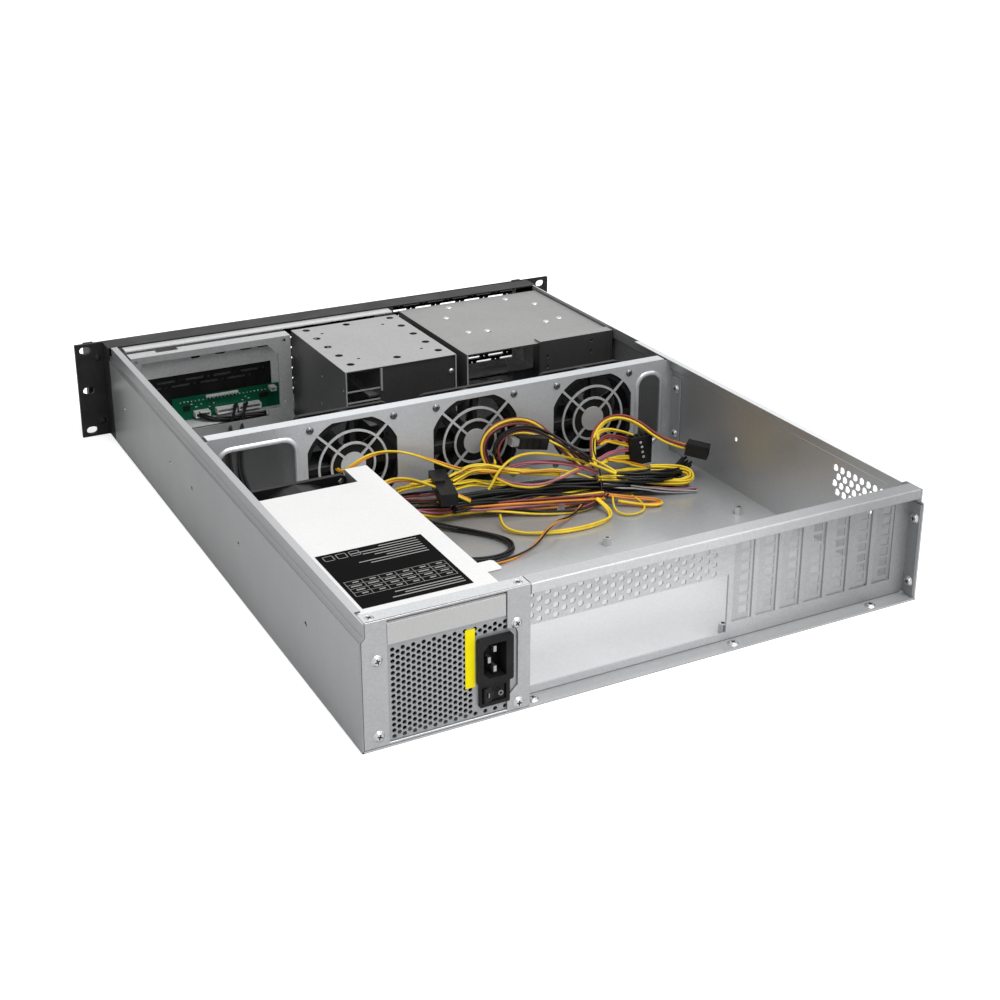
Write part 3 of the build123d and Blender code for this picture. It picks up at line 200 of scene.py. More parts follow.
def moulded(name, level, roughness, grain_mm=0.9, height_mm=0.03):
    """Plastic or paint with a fine relief; the dark ones mirror little."""
    made = Shader(name, grey(level), 0.0, roughness)
    if level < 0.1:
        made.set("Specular IOR Level", 0.13)
    made.blend(made.noise(14.0), grey(level * 0.8), grey(level * 1.25))
    made.rough(made.noise(25.0), roughness - 0.06, roughness + 0.06)
    made.bump(made.noise(grain_mm, 2.0), height_mm, 0.5)
    return made.material


def insulation(name, colour):
    """Slightly glossy wire insulation, with soft changes along the wire."""
    made = Shader(name, colour, 0.0, 0.38)
    dark = tuple(c * 0.72 for c in colour)
    light = tuple(min(1.0, c * 1.15) for c in colour)
    made.blend(made.noise(22.0), dark, light)
    made.bump(made.noise(1.2, 1.0), 0.02, 0.3)
    made.set("Specular IOR Level", 0.25 if max(colour) < 0.1 else 0.4)
    return made.material


# Painted light and shade in the sheets below: levels by facing give lit tops and shaded sides and rears; levels along
# the case give painted shade towards the -X end of the fan wall, rear panel and slot covers, and painted light on the
# tray towards -X and towards the rear
galvanised = sheet_metal("galvanised_sheet", 0.8, 0.4, 0.26, 0.36, blue=0.022, contrast=0.04,
                         faces={"rest": 0.8, "rear": 0.8, "up": 1.0, "left": 0.7, "right": 0.7},
                         painted_light_fades=[("X", -120.0, 60.0, 0.8, 1.0)])
front_sheet = sheet_metal("front_sheet", 0.88, 0.1, 0.26, 0.36, faces={"rest": 0.8, "rear": 1.0, "up": 0.8})
bay_sheet = sheet_metal("bay_sheet", 0.52, 0.45, 0.26, 0.36, faces={"rest": 0.8, "rear": 1.0, "up": 1.04})
rear_sheet = sheet_metal("rear_sheet", 0.6, 0.45, 0.34, 0.44, grain_mm=1.1, blue=0.012,
                         faces={"rest": 0.9, "rear": 1.0, "up": 0.95}, painted_light_fades=[("X", -165.0, -40.0, 0.55, 1.0)])
frame_sheet = sheet_metal("frame_sheet", 0.44, 0.5, 0.34, 0.44, grain_mm=1.1, blue=0.01,
                          faces={"rest": 0.9, "rear": 1.0, "up": 1.6})
tray_sheet = sheet_metal("tray_sheet", 0.36, 0.6, 0.3, 0.4, contrast=0.03,
                         faces={"rest": 0.8, "up": 1.5, "left": 0.9},
                         painted_light_fades=[("X", -100.0, 100.0, 1.4, 0.86), ("Y", 0.0, 300.0, 1.0, 1.3)])
# Floor: painted shade over its front part under the cages, painted light growing towards the rear, and painted shade
# on the strip at its rear edge
tray_floor = sheet_metal("tray_floor", 0.42, 0.4, 0.18, 0.26, contrast=0.03,
                         painted_light_fades=[("Y", -50.0, -5.0, 0.2, 1.0), ("Y", 60.0, 210.0, 1.0, 1.8),
                                ("Y", 298.0, 302.0, 1.0, 0.66)])
# Cage sheets: painted shade on their sides and rears, their tops lit
cage_sheet = sheet_metal("cage_sheet", 0.42, 0.6, 0.3, 0.4, blue=0.0,
                         faces={"rest": 0.4, "up": 1.05, "rear": 0.2, "left": 0.48, "right": 0.3})
wide_sheet = sheet_metal("wide_sheet", 0.35, 0.55, 0.34, 0.44, blue=-0.003,
                         faces={"rest": 0.4, "up": 0.97, "rear": 0.2, "left": 0.5, "right": 0.3})
# Painted highlight: a lit copy of the sheet for sheared edges, studs and specks of light in holes
painted_highlight = sheet_metal("painted_highlight", 0.72, 0.6, 0.2, 0.3, blue=0.0)
supply_sheet = sheet_metal("supply_sheet", 0.86, 0.2, 0.36, 0.46, grain_mm=0.9, blue=-0.004,
                           contrast=0.03, faces={"rest": 0.55, "up": 1.0, "rear": 0.57})
supply_plate = sheet_metal("supply_plate", 0.36, 0.55, 0.34, 0.44, grain_mm=0.9)
cover_sheet = sheet_metal("cover_sheet", 0.47, 0.5, 0.3, 0.42, grain_mm=1.1, blue=0.01,
                          painted_light_fades=[("X", -200.0, -90.0, 0.6, 1.0)])
screw_metal = sheet_metal("screw_metal", 0.62, 0.85, 0.24, 0.34, grain_mm=0.5)
dull_screw = sheet_metal("dull_screw", 0.2, 0.9, 0.22, 0.3, grain_mm=0.5)
pin_metal = sheet_metal("pin_metal", 0.42, 0.9, 0.2, 0.3, grain_mm=0.4)
port_metal = sheet_metal("port_metal", 0.6, 0.9, 0.25, 0.35, grain_mm=0.6)
black_paint = moulded("black_paint", 0.018, 0.42, 0.5, 0.03)
black_plastic = moulded("black_plastic", 0.014, 0.4)
gloss_black = moulded("gloss_black", 0.012, 0.22, 1.5, 0.01)
fan_plastic = moulded("fan_plastic", 0.010, 0.36)
rotor_plastic = moulded("rotor_plastic", 0.014, 0.3)
connector_plastic = moulded("connector_plastic", 0.016, 0.42, 0.7)
tie_plastic = moulded("tie_plastic", 0.03, 0.3, 1.0, 0.01)
white_plastic = moulded("white_plastic", 0.72, 0.4)
filter_mesh = moulded("filter_mesh", 0.16, 0.7, 0.6, 0.2)
grey_plastic = moulded("grey_plastic", 0.26, 0.45)


def paper(name, colour, roughness=0.45, gloss=0.06):
    """Printed film: one colour with faint mottling."""
    made = Shader(name, colour, 0.0, roughness)
    made.set("Specular IOR Level", gloss)
    made.blend(made.noise(9.0), tuple(c * 0.93 for c in colour), tuple(min(1.0, c * 1.04) for c in colour))
    made.rough(made.noise(20.0), roughness - 0.05, roughness + 0.05)
    made.bump(made.noise(1.5, 1.0), 0.01, 0.2)
    return made.material


label_yellow = paper("label_yellow", (0.92, 0.78, 0.004))
label_black = paper("label_black", (0.006, 0.006, 0.006), 0.4, 0.006)
label_print = paper("label_print", (0.34, 0.34, 0.33))
board_green = paper("board_green", (0.006, 0.105, 0.052), 0.3)
# Painted shade lining the recesses of the screws
painted_recess_shade = sheet_metal("painted_recess_shade", 0.10, 0.7, 0.4, 0.5, grain_mm=0.5)
solder = sheet_metal("solder", 0.62, 0.6, 0.25, 0.35, grain_mm=0.4)

WIRE_COLOURS = {
    "k": insulation("wire_black", (0.009, 0.009, 0.009)),
    "r": insulation("wire_maroon", (0.22, 0.035, 0.035)),
    "v": insulation("wire_mauve", (0.42, 0.13, 0.17)),
    "o": insulation("wire_orange", (0.66, 0.24, 0.02)),
    "p": insulation("wire_pale", (0.42, 0.42, 0.42)),
    "y": insulation("wire_yellow", (0.84, 0.60, 0.025)),
}


# Harness: the routes of the solids' cords, and finer groups beside them, in millimetres

def spline_points(name, route):
    """Points along the smooth line that a route's points control, in metres."""
    curve = bpy.data.curves.new(name, "CURVE")
    curve.dimensions = "3D"
    curve.resolution_u = 10
    spline = curve.splines.new("NURBS")
    spline.points.add(len(route) - 1)
    for point, (x, y, z) in zip(spline.points, route):
        point.co = (x * MM, y * MM, z * MM, 1.0)
    spline.order_u = 3
    spline.use_endpoint_u = True
    carrier = bpy.data.objects.new(name, curve)
    mesh = bpy.data.meshes.new_from_object(carrier)
    points = [vertex.co.copy() for vertex in mesh.vertices]
    bpy.data.objects.remove(carrier)
    bpy.data.curves.remove(curve)
    bpy.data.meshes.remove(mesh)
    return points


def carried_frames(points):
    """Two unit vectors across the line at each point, carried along without twist."""
    tangents = []
    for i in range(len(points)):
        ahead = points[min(i + 1, len(points) - 1)]
        behind = points[max(i - 1, 0)]
        tangents.append((ahead - behind).normalized())
    side = tangents[0].cross(Vector((0.0, 0.0, 1.0))).normalized()
    frames = []
    for tangent in tangents:
        side = (side - tangent * side.dot(tangent)).normalized()
        frames.append((side, tangent.cross(side)))
    return frames


def add_tube(mesh, points, radius, slot, sides=8):
    """A closed round tube along points."""
    rings = []
    for point, (side, up) in zip(points, carried_frames(points)):
        ring = []
        for k in range(sides):
            angle = 2 * math.pi * k / sides
            ring.append(mesh.verts.new(point + (side * math.cos(angle) + up * math.sin(angle)) * radius))
        rings.append(ring)
    for first, second in zip(rings, rings[1:]):
        for k in range(sides):
            face = mesh.faces.new((first[k], first[k - 1], second[k - 1], second[k]))
            face.material_index = slot
            face.smooth = True
    for ring in (rings[0], rings[-1][::-1]):
        face = mesh.faces.new(ring)
        face.material_index = slot


def soften(piece, width_mm, segments=2):
    """Small rounded edges, which catch the light as folded and sheared sheet does."""
    bevel = piece.modifiers.new("edges", "BEVEL")
    bevel.width = width_mm * MM
    bevel.segments = segments
    bevel.limit_method = "ANGLE"
    bevel.angle_limit = math.radians(40)


def finish_mesh(name, mesh, materials, replaced=(), edge_mm=0.0, segments=2, body="case"):
    """Makes the mesh a piece of the case, which stands for the replaced solids."""
    data = bpy.data.meshes.new(name)
    bmesh.ops.recalc_face_normals(mesh, faces=mesh.faces)
    mesh.to_mesh(data)
    mesh.free()
    for material in materials:
        data.materials.append(material)
    piece = add_object(name, data)
    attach(piece, body)
    if edge_mm:
        soften(piece, edge_mm, segments)
    if replaced:
        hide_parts(*replaced)
    return piece


FLOOR_TOP = 1.25 * MM  # no wire sinks below it


def wires(name, colours, route, replaced=("harness_hank",), wire=1.9, spread=None, turns=0.2,
          phase=0.0):
    """A loose group of wires along one route, each wandering a little round the others.

    colours has one letter of WIRE_COLOURS for each wire, and spread is the group's radius without the wire's own,
    or a pair of them, at the route's start and end."""
    points = spline_points(name, route)
    frames = carried_frames(points)
    count = len(colours)
    radius = wire * MM / 2
    if spread is None:
        spread = wire * 0.55 if count > 1 else 0.0
    first, last = spread if isinstance(spread, tuple) else (spread, spread)
    mesh = bmesh.new()
    letters = [letter for letter in WIRE_COLOURS if letter in colours]
    for k, colour in enumerate(colours):
        inner = count > 6 and k % 3 == 0  # fills the middle of a thick group
        line = []
        for i, (point, (side, up)) in enumerate(zip(points, frames)):
            share = i / (len(points) - 1)
            drift = noise.noise(Vector((share * 5.0, k * 3.7, phase + 1.3)))
            angle = 2 * math.pi * (k / count + turns * share + 0.07 * drift) + phase
            out = (first + (last - first) * share) * MM * (0.35 if inner else 0.85 + 0.25 * drift)
            place = point + (side * math.cos(angle) + up * math.sin(angle)) * out
            place.z = max(place.z, FLOOR_TOP + radius)
            line.append(place)
        add_tube(mesh, line, radius, letters.index(colour))
    piece = finish_mesh(name, mesh, [WIRE_COLOURS[letter] for letter in letters], replaced)


wires("harness_trunk_wires", "kyrkokykrkyk", [
    (123.9, 82.5, 30), (123.9, 60, 30), (112, 34, 21), (84, 22, 14.5), (52, 26, 14), (24, 38, 14),
], ["harness_trunk"], wire=2.2, spread=4.6, turns=0.4)

wires("loop_left_wires", "yryrk", [
    (-27, 24, 20), (-18, 15, 37), (-20, 8.5, 52), (-33, 7, 61.5), (-52, 7, 64), (-69, 8.5, 58), (-80, 14, 46),
    (-90, 25, 35), (-99, 37, 24),
], ["loop_left"], wire=2.2, spread=2.6, turns=0.3)

wires("loop_inner_wires", "y", [
    (-24.6, 22, 34), (-26.8, 15, 44.5), (-37.2, 12, 53.7), (-55.6, 12.5, 54.6), (-73.5, 15, 46.9), (-84, 22, 40.3),
    (-94.5, 34, 36), (-105.3, 50.9, 33), (-112.7, 68.4, 28),
], ["loop_left", "harness_hank"], wire=2.2)

wires("loop_outer_wires", "y", [
    (-7.3, 34.5, 14), (-13.1, 36.1, 22), (-21.1, 34.1, 34), (-34.3, 31.7, 42), (-51.3, 30.1, 43), (-70.4, 35.4, 40),
    (-88.3, 45.6, 35.5), (-101.2, 58, 32), (-111.7, 69.2, 27),
], wire=2.3)

wires("mauve_wires", "vrv", [
    (-22.1, 25.1, 27), (-35.1, 25.1, 31), (-47.4, 27.1, 33), (-65.2, 33, 33.5), (-86.3, 44.8, 31.5),
    (-100.7, 58.9, 27),
], wire=2.1, turns=0.5)

wires("ring_wires", "yv", [
    (-19.5, 30.2, 28), (-24.7, 40.7, 26), (-34.5, 49.4, 24), (-48, 55.7, 24), (-65.3, 55.5, 26.5), (-84.9, 50.6, 29),
    (-100, 46, 28),
], wire=2.1, turns=0.6)

wires("black_core", "kkkkkkkkkkkkkkkkkk", [
    (24, 38, 14), (4, 38.5, 14), (-26.3, 40, 14), (-64, 47.5, 14.5), (-101.1, 56, 13.5), (-137, 60.6, 12),
    (-178.6, 62.7, 10),
], wire=2.4, spread=8.2, turns=0.25)

wires("band_wires", "yoyrov", [
    (52, 30, 12), (41.9, 34.1, 9), (22.5, 38.2, 9.5), (4.3, 43.5, 10), (-34, 52.4, 10), (-69.2, 62.3, 10),
    (-100.1, 70.1, 10),
], wire=2.1, spread=3.4, turns=0.35)

wires("band_dip_wires", "yrk", [
    (-3.3, 46.7, 8), (-27.7, 54.5, 6), (-45.7, 66.1, 4.3), (-74.5, 74.5, 4.3), (-92, 74.2, 7), (-104, 68, 11),
], wire=1.8, spread=1.6, turns=0.4)

wires("far_fold_wires", "yyyyyy", [
    (-100.3, 58.2, 21), (-130.7, 62.1, 16), (-159.1, 70.3, 11), (-174.8, 74.6, 9), (-184.2, 72.9, 10.5),
    (-184.3, 67.8, 15), (-172, 64.9, 19), (-150, 60, 21),
], spread=2.9)

wires("near_fold_wires", "oyo", [
    (-100.9, 65.7, 10), (-112, 71, 7.5), (-124.3, 76.4, 6), (-138.2, 82.9, 4.6), (-144, 88.2, 3.8),
    (-141, 92.5, 3.6), (-133.5, 91.9, 3.6), (-122.8, 84.9, 3.8), (-109.5, 76.7, 6),
], wire=2.0, turns=0.3)

wires("small_ring_wires", "y", [
    (-108.2, 70.5, 8), (-103.2, 79.1, 5), (-101, 89.9, 3.2), (-106.2, 98, 3), (-117.6, 98.9, 3), (-126.4, 92.3, 3.2),
    (-128.4, 82.3, 4.5), (-124, 74.3, 7.5),
], wire=1.7)

wires("pale_wires", "pkvp", [
    (-103.9, 60.7, 15), (-120, 64, 12.5), (-139.1, 69.8, 9), (-161.7, 77.1, 5), (-183, 82.6, 3.2),
], wire=1.5, spread=2.0)

wires("second_lead_wires", "oy", [
    (88, 19, 22), (76.2, 10, 29), (63.5, 6.7, 32), (51, 11, 33), (40.4, 24, 32), (26.2, 38.5, 28), (9.6, 45.6, 19),
], ["harness_trunk", "harness_hank"], wire=2.1, turns=0.5)

wires("fan_lead_wires", "oy", [
    (101.8, -8.1, 44.3), (101.8, 1, 44.5), (96, 7.5, 51), (82, 7, 57), (65, 4, 57), (47, 3, 52.5), (27, 7, 43.5),
    (7, 18, 35), (-13, 27.5, 31.5), (-32, 31, 31), (-50, 35, 29.5),
], ["fan_lead"], wire=1.8, turns=1.2)

wires("loop_right_wires", "yory", [
    (-111, 36, 20), (-115, 24, 33), (-124, 14, 44), (-139, 8, 50), (-156, 8, 49), (-167, 17, 43), (-173, 31, 37),
    (-179, 44, 33), (-190, 55, 31),
], ["loop_right"], wire=2.1, spread=2.0, turns=0.3)

wires("black_loop_wires", "kkkk", [
    (63, 27, 12), (49, 40, 7), (34, 54, 4.2), (19, 70, 4.1), (8, 85, 4.1), (2.5, 98, 4.1), (5, 110.5, 4.1),
    (16, 118.5, 4.1), (33, 118.5, 4.1), (53, 110, 4.1), (72, 97, 5.5),
], ["black_loop"], wire=2.0, spread=1.7, turns=0.3)

wires("thin_pair_wires", "ok", [
    (-79, 71, 7), (-66, 79, 3.8), (-54, 87, 6), (-42, 95.5, 10.6), (-28, 104.5, 10.6), (-13, 114, 4.6),
    (4, 121.5, 3.2), (22, 126, 3.1), (42, 125.5, 3.1), (62, 120, 3.3), (80, 112, 4),
], ["thin_pair"], wire=1.5, turns=2.0)

wires("low_loop_wires", "yy", [
    (-91, 73, 11), (-95, 82, 7), (-94, 92, 4.2), (-86, 99.5, 3.7), (-72, 103, 3.6), (-54, 103, 3.6),
    (-36, 99.5, 3.6), (-20, 93, 3.6), (-8, 84, 3.8), (-4, 73, 5.5), (-8, 62.5, 9),
], ["low_loop"], wire=2.0, turns=0.8)

wires("lead_tail_wires", "oy", [
    (-40.2, 36.2, 30), (-57.7, 38.3, 29), (-70.8, 41.8, 28), (-81.8, 47.4, 26), (-90.3, 52.4, 24), (-97.9, 57.4, 21),
], ["fan_lead"], wire=1.7, turns=0.5)

wires("connector_fan_wires", "yyyyy", [
    (-74.6, 41.9, 24), (-58.7, 36.5, 26), (-41.8, 33.3, 29), (-27.4, 29, 32), (-17.8, 24.6, 34), (-9.2, 21.6, 35),
    (-0.7, 20.4, 34), (7.2, 20, 31), (16, 21.4, 28),
], spread=(1.6, 4.4), turns=0.1)

wires("connector_low_wires", "yyyy", [
    (-51.2, 41.7, 17), (-38.8, 35.5, 18), (-25.6, 28.9, 19), (-13.9, 23.1, 20), (-4.2, 22.4, 23), (5.4, 23.4, 24),
    (15.8, 24.5, 23),
], wire=1.8, spread=(1.5, 3.6))

wires("left_yellow_wires", "yyyy", [
    (65.5, 0.9, 16), (57.4, 7, 22), (48.7, 11.3, 25), (39.1, 13.6, 27), (26, 16.1, 28),
], ["harness_trunk"], wire=2.0, spread=2.2)

wires("left_maroon_wires", "rvk", [
    (62.6, 6.3, 14), (55.8, 11, 18), (48.4, 18.1, 21), (41.4, 26, 24), (32.1, 32.6, 26),
], ["harness_trunk"], wire=2.0, spread=1.8)

wires("left_orange_wires", "yor", [
    (61.1, 8.7, 12), (52.7, 13.7, 14), (46.7, 21.8, 16), (40.3, 29.1, 18), (31.7, 35.3, 20),
], ["harness_trunk"], wire=2.0, spread=1.8)

wires("inner_right_wires", "yy", [
    (-123.3, 24, 36), (-122.1, 20, 40.2), (-127.4, 16, 43.3), (-137.4, 15, 42.5), (-148.6, 18, 39.6),
    (-157.9, 21, 35.8),
], ["loop_right"], turns=0.3)

wires("inner_low_wires", "yo", [
    (-121.1, 26, 35.3), (-127.8, 23, 36.6), (-138, 21, 33.5), (-155.2, 21, 26.1),
], ["loop_right"])

wires("inner_maroon_wires", "rr", [
    (-120.7, 25, 36.8), (-126.9, 21, 39.7), (-138.1, 19, 37.8), (-148.2, 19, 34.1), (-157.1, 21, 30.4),
], ["loop_right"], turns=0.3)

wires("plug_upper_wires", "yy", [
    (-116.4, 36, 22.6), (-127.3, 31, 22.2), (-141.3, 26, 20.5), (-156.9, 22, 15.5),
], ["loop_right"], wire=2.0)

wires("plug_middle_wires", "yyo", [
    (-125.4, 34, 23.7), (-139.9, 30, 18.5), (-154.7, 29, 12), (-167.4, 30, 7.6),
], ["loop_right"])

wires("plug_lower_wires", "yy", [
    (-128.6, 42, 16.1), (-142.1, 38, 13.3), (-154.4, 36, 9.6), (-164.6, 36, 6.7),
])

wires("plug_mauve_wires", "vv", [
    (-114.6, 34, 25.8), (-128, 28, 26), (-142, 23, 25.2), (-157.3, 21, 22.5),
], ["loop_right"])

wires("black_fold_wires", "kkkkkkkkk", [
    (-99, 52.5, 16), (-116.8, 59.7, 17), (-137.6, 68.4, 18), (-157.3, 71.4, 17), (-178.9, 63, 15),
    (-190.4, 54.7, 17),
], wire=2.3, spread=5.0, turns=0.5)

wires("band_low_wires", "oyroy", [
    (63.8, 32.1, 8), (39.2, 32, 8), (12.7, 36.1, 8), (-17.5, 44.4, 9), (-50.4, 51.8, 10), (-83.9, 55.7, 10),
    (-103, 55.6, 11),
], wire=2.0, spread=2.8, turns=0.35, phase=2.0)

wires("band_mid_wires", "yro", [
    (42.5, 29.5, 5), (13.4, 33.8, 5), (-18.4, 42.7, 5), (-47.7, 56.8, 5), (-76.2, 64.3, 6.5), (-100.6, 58.2, 8),
], spread=2.0, turns=0.4, phase=0.7)

wires("loop_dark_wires", "kkrk", [
    (-36.1, 17.7, 26), (-24.2, 21, 42), (-30.1, 18.6, 55), (-43, 20.2, 62), (-55.4, 29.9, 64), (-68, 39.3, 58),
    (-80.8, 50, 48), (-96.8, 52.2, 36),
], ["loop_left"], wire=2.0, spread=2.2, turns=0.3)

wires("tie_tail_wires", "k", [
    (-114.2, 29.1, 44), (-109.4, 34.9, 38), (-108.4, 42.6, 32), (-106.2, 52.1, 27), (-100.8, 63.8, 20),
    (-98.9, 69, 9),
], ["cable_tie"], wire=1.3)

wires("front_lead_a", "kk", [
    (101, -268, 9), (101.5, -262, 15), (105, -254, 15.5), (111, -243, 9), (120, -225, 5), (137, -182, 4),
    (152, -130, 4), (160, -75, 4), (163, -30, 9),
], [], wire=2.6, turns=0.6)

wires("front_lead_b", "kk", [
    (91, -268, 9), (92, -262, 15), (95, -254, 15.5), (101, -243, 9), (110, -222, 5), (127, -178, 4), (144, -126, 4),
    (153, -72, 4), (157, -30, 9),
], [], wire=2.6, turns=0.6)

wires("front_lead_c", "kkkkk", [
    (136, -267, 9), (134, -261, 8), (124, -256, 5), (108, -254, 4.5), (92, -254.5, 4.5), (76, -252, 5),
], [], wire=2.0, spread=2.0, turns=0.6)


# Helpers for pieces that are modelled here

SHEET = 1.2  # thickness of the sheet
JOGGLE = 2.6  # how far the upper part of the walls stands in


def cad(node):
    """Lowest and highest corner of a solid, in millimetres."""
    low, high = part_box(node)
    return [v / MM for v in low], [v / MM for v in high]


def middle_of(node):
    """Middle of a solid's box, in millimetres."""
    return [(low + high) / 2 for low, high in zip(*cad(node))]


REAR = cad("rear_panel")[1][1]


def add_block(mesh, x, y, z, slot=0):
    """A box between pairs of x, y and z, in millimetres."""
    corners = [mesh.verts.new((a * MM, b * MM, c * MM)) for a in sorted(x) for b in sorted(y) for c in sorted(z)]
    for side in ((0, 1, 3, 2), (4, 6, 7, 5), (0, 4, 5, 1), (2, 3, 7, 6), (0, 2, 6, 4), (1, 5, 7, 3)):
        mesh.faces.new([corners[i] for i in side]).material_index = slot


def ring_points(x, z, radius, sides, turn=0.0):
    angles = [turn + 2 * math.pi * k / sides for k in range(sides)]
    return [(x + radius * math.cos(angle), z + radius * math.sin(angle)) for angle in angles]


def slot_points(x, z, length, height, steps=5):
    """An upright plate's slot with round ends."""
    reach, radius = length / 2 - height / 2, height / 2
    points = []
    for side, start in ((1, -math.pi / 2), (-1, math.pi / 2)):
        for k in range(steps + 1):
            angle = start + math.pi * k / steps
            points.append((x + side * reach + radius * math.cos(angle), z + radius * math.sin(angle)))
    return points


def rectangle_points(x, z):
    return [(x[0], z[0]), (x[1], z[0]), (x[1], z[1]), (x[0], z[1])]


PLATE_TURNS = {
    "X": ((0, 0, 1), (1, 0, 0), (0, 1, 0)),
    "Y": ((1, 0, 0), (0, 0, -1), (0, 1, 0)),
    "Z": ((1, 0, 0), (0, 1, 0), (0, 0, 1)),
}


def add_plate(mesh, outlines, span, slot=0, axis="Y"):
    """A sheet across an axis, in millimetres: outlines[0] is its edge and the rest are holes."""
    curve = bpy.data.curves.new("plate", "CURVE")
    curve.dimensions = "2D"
    curve.fill_mode = "BOTH"
    curve.extrude = abs(span[1] - span[0]) / 2 * MM
    for outline in outlines:
        spline = curve.splines.new("POLY")
        spline.points.add(len(outline) - 1)
        for point, (x, z) in zip(spline.points, outline):
            point.co = (x * MM, z * MM, 0.0, 1.0)
        spline.use_cyclic_u = True
    carrier = bpy.data.objects.new("plate", curve)
    data = bpy.data.meshes.new_from_object(carrier)
    middle = (span[0] + span[1]) / 2 * MM
    move = Matrix.Translation([middle if a == axis else 0.0 for a in "XYZ"])
    data.transform(move @ Matrix(PLATE_TURNS[axis]).to_4x4())
    before = len(mesh.faces)
    mesh.from_mesh(data)
    mesh.faces.ensure_lookup_table()
    for face in mesh.faces[before:]:
        face.material_index = slot
    bpy.data.objects.remove(carrier)
    bpy.data.curves.remove(curve)
    bpy.data.meshes.remove(data)


def add_bands(mesh, rings, slot=0):
    """Smooth faces between rings with equal counts of corners."""
    for first, second in zip(rings, rings[1:]):
        for k in range(len(first)):
            face = mesh.faces.new((first[k - 1], first[k], second[k], second[k - 1]))
            face.material_index = slot
            face.smooth = True


def weld(mesh):
    bmesh.ops.remove_doubles(mesh, verts=mesh.verts, dist=0.00001)


# Power supply: shell with the finely perforated rear plate

def make_supply_shell():
    (ear, front, bottom), (left, rear, top) = cad("psu_case")
    right = cad("psu_cover")[0][0] - 1.3
    inside = rear - SHEET
    fan_low, fan_high = cad("psu_fan_frame")
    notch_x, notch_y = fan_low[0] - 0.3, fan_high[1] + 0.3
    inlet_low, inlet_high = cad("power_inlet")
    switch_low, switch_high = cad("switch_housing")
    inlet_x = middle_of("power_inlet")[0]
    taken = [
        (inlet_x - 13.6, inlet_x + 13.6, inlet_low[2] - 2.8, inlet_high[2] + 2.8),
        (inlet_x - 13.6, inlet_x + 12.4, switch_low[2] - 2.8, inlet_high[2]),
    ]
    outlines = [rectangle_points((right, left), (bottom, top))]
    for low, high in ((inlet_low[2] + 1.9, inlet_high[2] - 1.9), (switch_low[2] + 1.4, switch_high[2] - 1.4)):
        outlines.append(rectangle_points((inlet_x - 8.7, inlet_x + 10.5), (low, high)))
    pitch, hexagonal, hole_radius = 4.0, 0.866, 1.5
    for column in range(24):
        x = left - 16.4 - column * pitch * hexagonal
        for row in range(16):
            z = 5.6 + row * pitch + (pitch / 2 if column % 2 else 0.0)
            if z > 66.2 or x < right + 3.4:
                continue
            if any(a - 1.6 < x < b + 1.6 and c < z < d for a, b, c, d in taken):
                continue
            outlines.append(ring_points(x, z, hole_radius, 10, 0.3))
    mesh = bmesh.new()
    add_plate(mesh, outlines, (inside, rear))
    add_block(mesh, (ear, right), (inside, rear), (bottom, 68.0))
    for x, y in (
        ((left - SHEET, left), (notch_y, inside)), ((right, right + SHEET), (front, inside)),
        ((right + SHEET, notch_x), (front, front + SHEET)), ((notch_x - SHEET, notch_x), (front + SHEET, notch_y)),
    ):
        add_block(mesh, x, y, (bottom, top))
    fan_x, _, fan_z = middle_of("psu_fan_frame")
    add_plate(mesh, [
        rectangle_points((notch_x, left - SHEET), (bottom, top)), ring_points(fan_x, fan_z, 37.2, 48),
    ], (notch_y, notch_y + SHEET), 1)
    for x, y in (((right + SHEET, left - SHEET), (notch_y + SHEET, inside)),
                 ((right + SHEET, notch_x - SHEET), (front + SHEET, notch_y + SHEET))):
        add_block(mesh, x, y, (bottom, bottom + SHEET), 1)
    # A dark sheet behind the small holes: painted shade for the inside of the supply, seen through them
    add_block(mesh, (right + 2, left - 2), (rear - 9.0, rear - 8.8), (bottom + 2, top - 1), 2)
    finish_mesh("supply_shell", mesh, [supply_plate, supply_sheet, fan_plastic], ["psu_case"])


make_supply_shell()


# Fan wall: the same sheet with smoothly rounded guards and pressed rims

def rounded_points(x, z, radius, steps=8):
    """An upright rectangle with round corners."""
    points = []
    for corner in range(4):
        centre_x = x[1] - radius if corner in (0, 3) else x[0] + radius
        centre_z = z[1] - radius if corner in (0, 1) else z[0] + radius
        for step in range(steps + 1):
            angle = math.pi / 2 * (corner + step / steps)
            points.append((centre_x + radius * math.cos(angle), centre_z + radius * math.sin(angle)))
    return points


def guard_holes(x, z):
    """The openings of one finger guard, between its rings and diagonal bars."""
    holes = []
    half_bar, half_opening, steps = 1.0, 38.5, 22
    for inner, outer in ((10.7, 17.7), (19.6, 28.3), (30.2, 42.0)):
        for quarter in range(4):
            start = math.pi / 4 + quarter * math.pi / 2
            points = []
            for radius, order in ((outer, 1), (inner, -1)):
                trim = math.asin(half_bar / radius)
                arc = [start + trim + (math.pi / 2 - 2 * trim) * k / steps for k in range(steps + 1)]
                for angle in arc[::order]:
                    across = max(-half_opening, min(half_opening, radius * math.cos(angle)))
                    above = max(-half_opening, min(half_opening, radius * math.sin(angle)))
                    points.append((x + across, z + above))
            holes.append(points)
    return holes


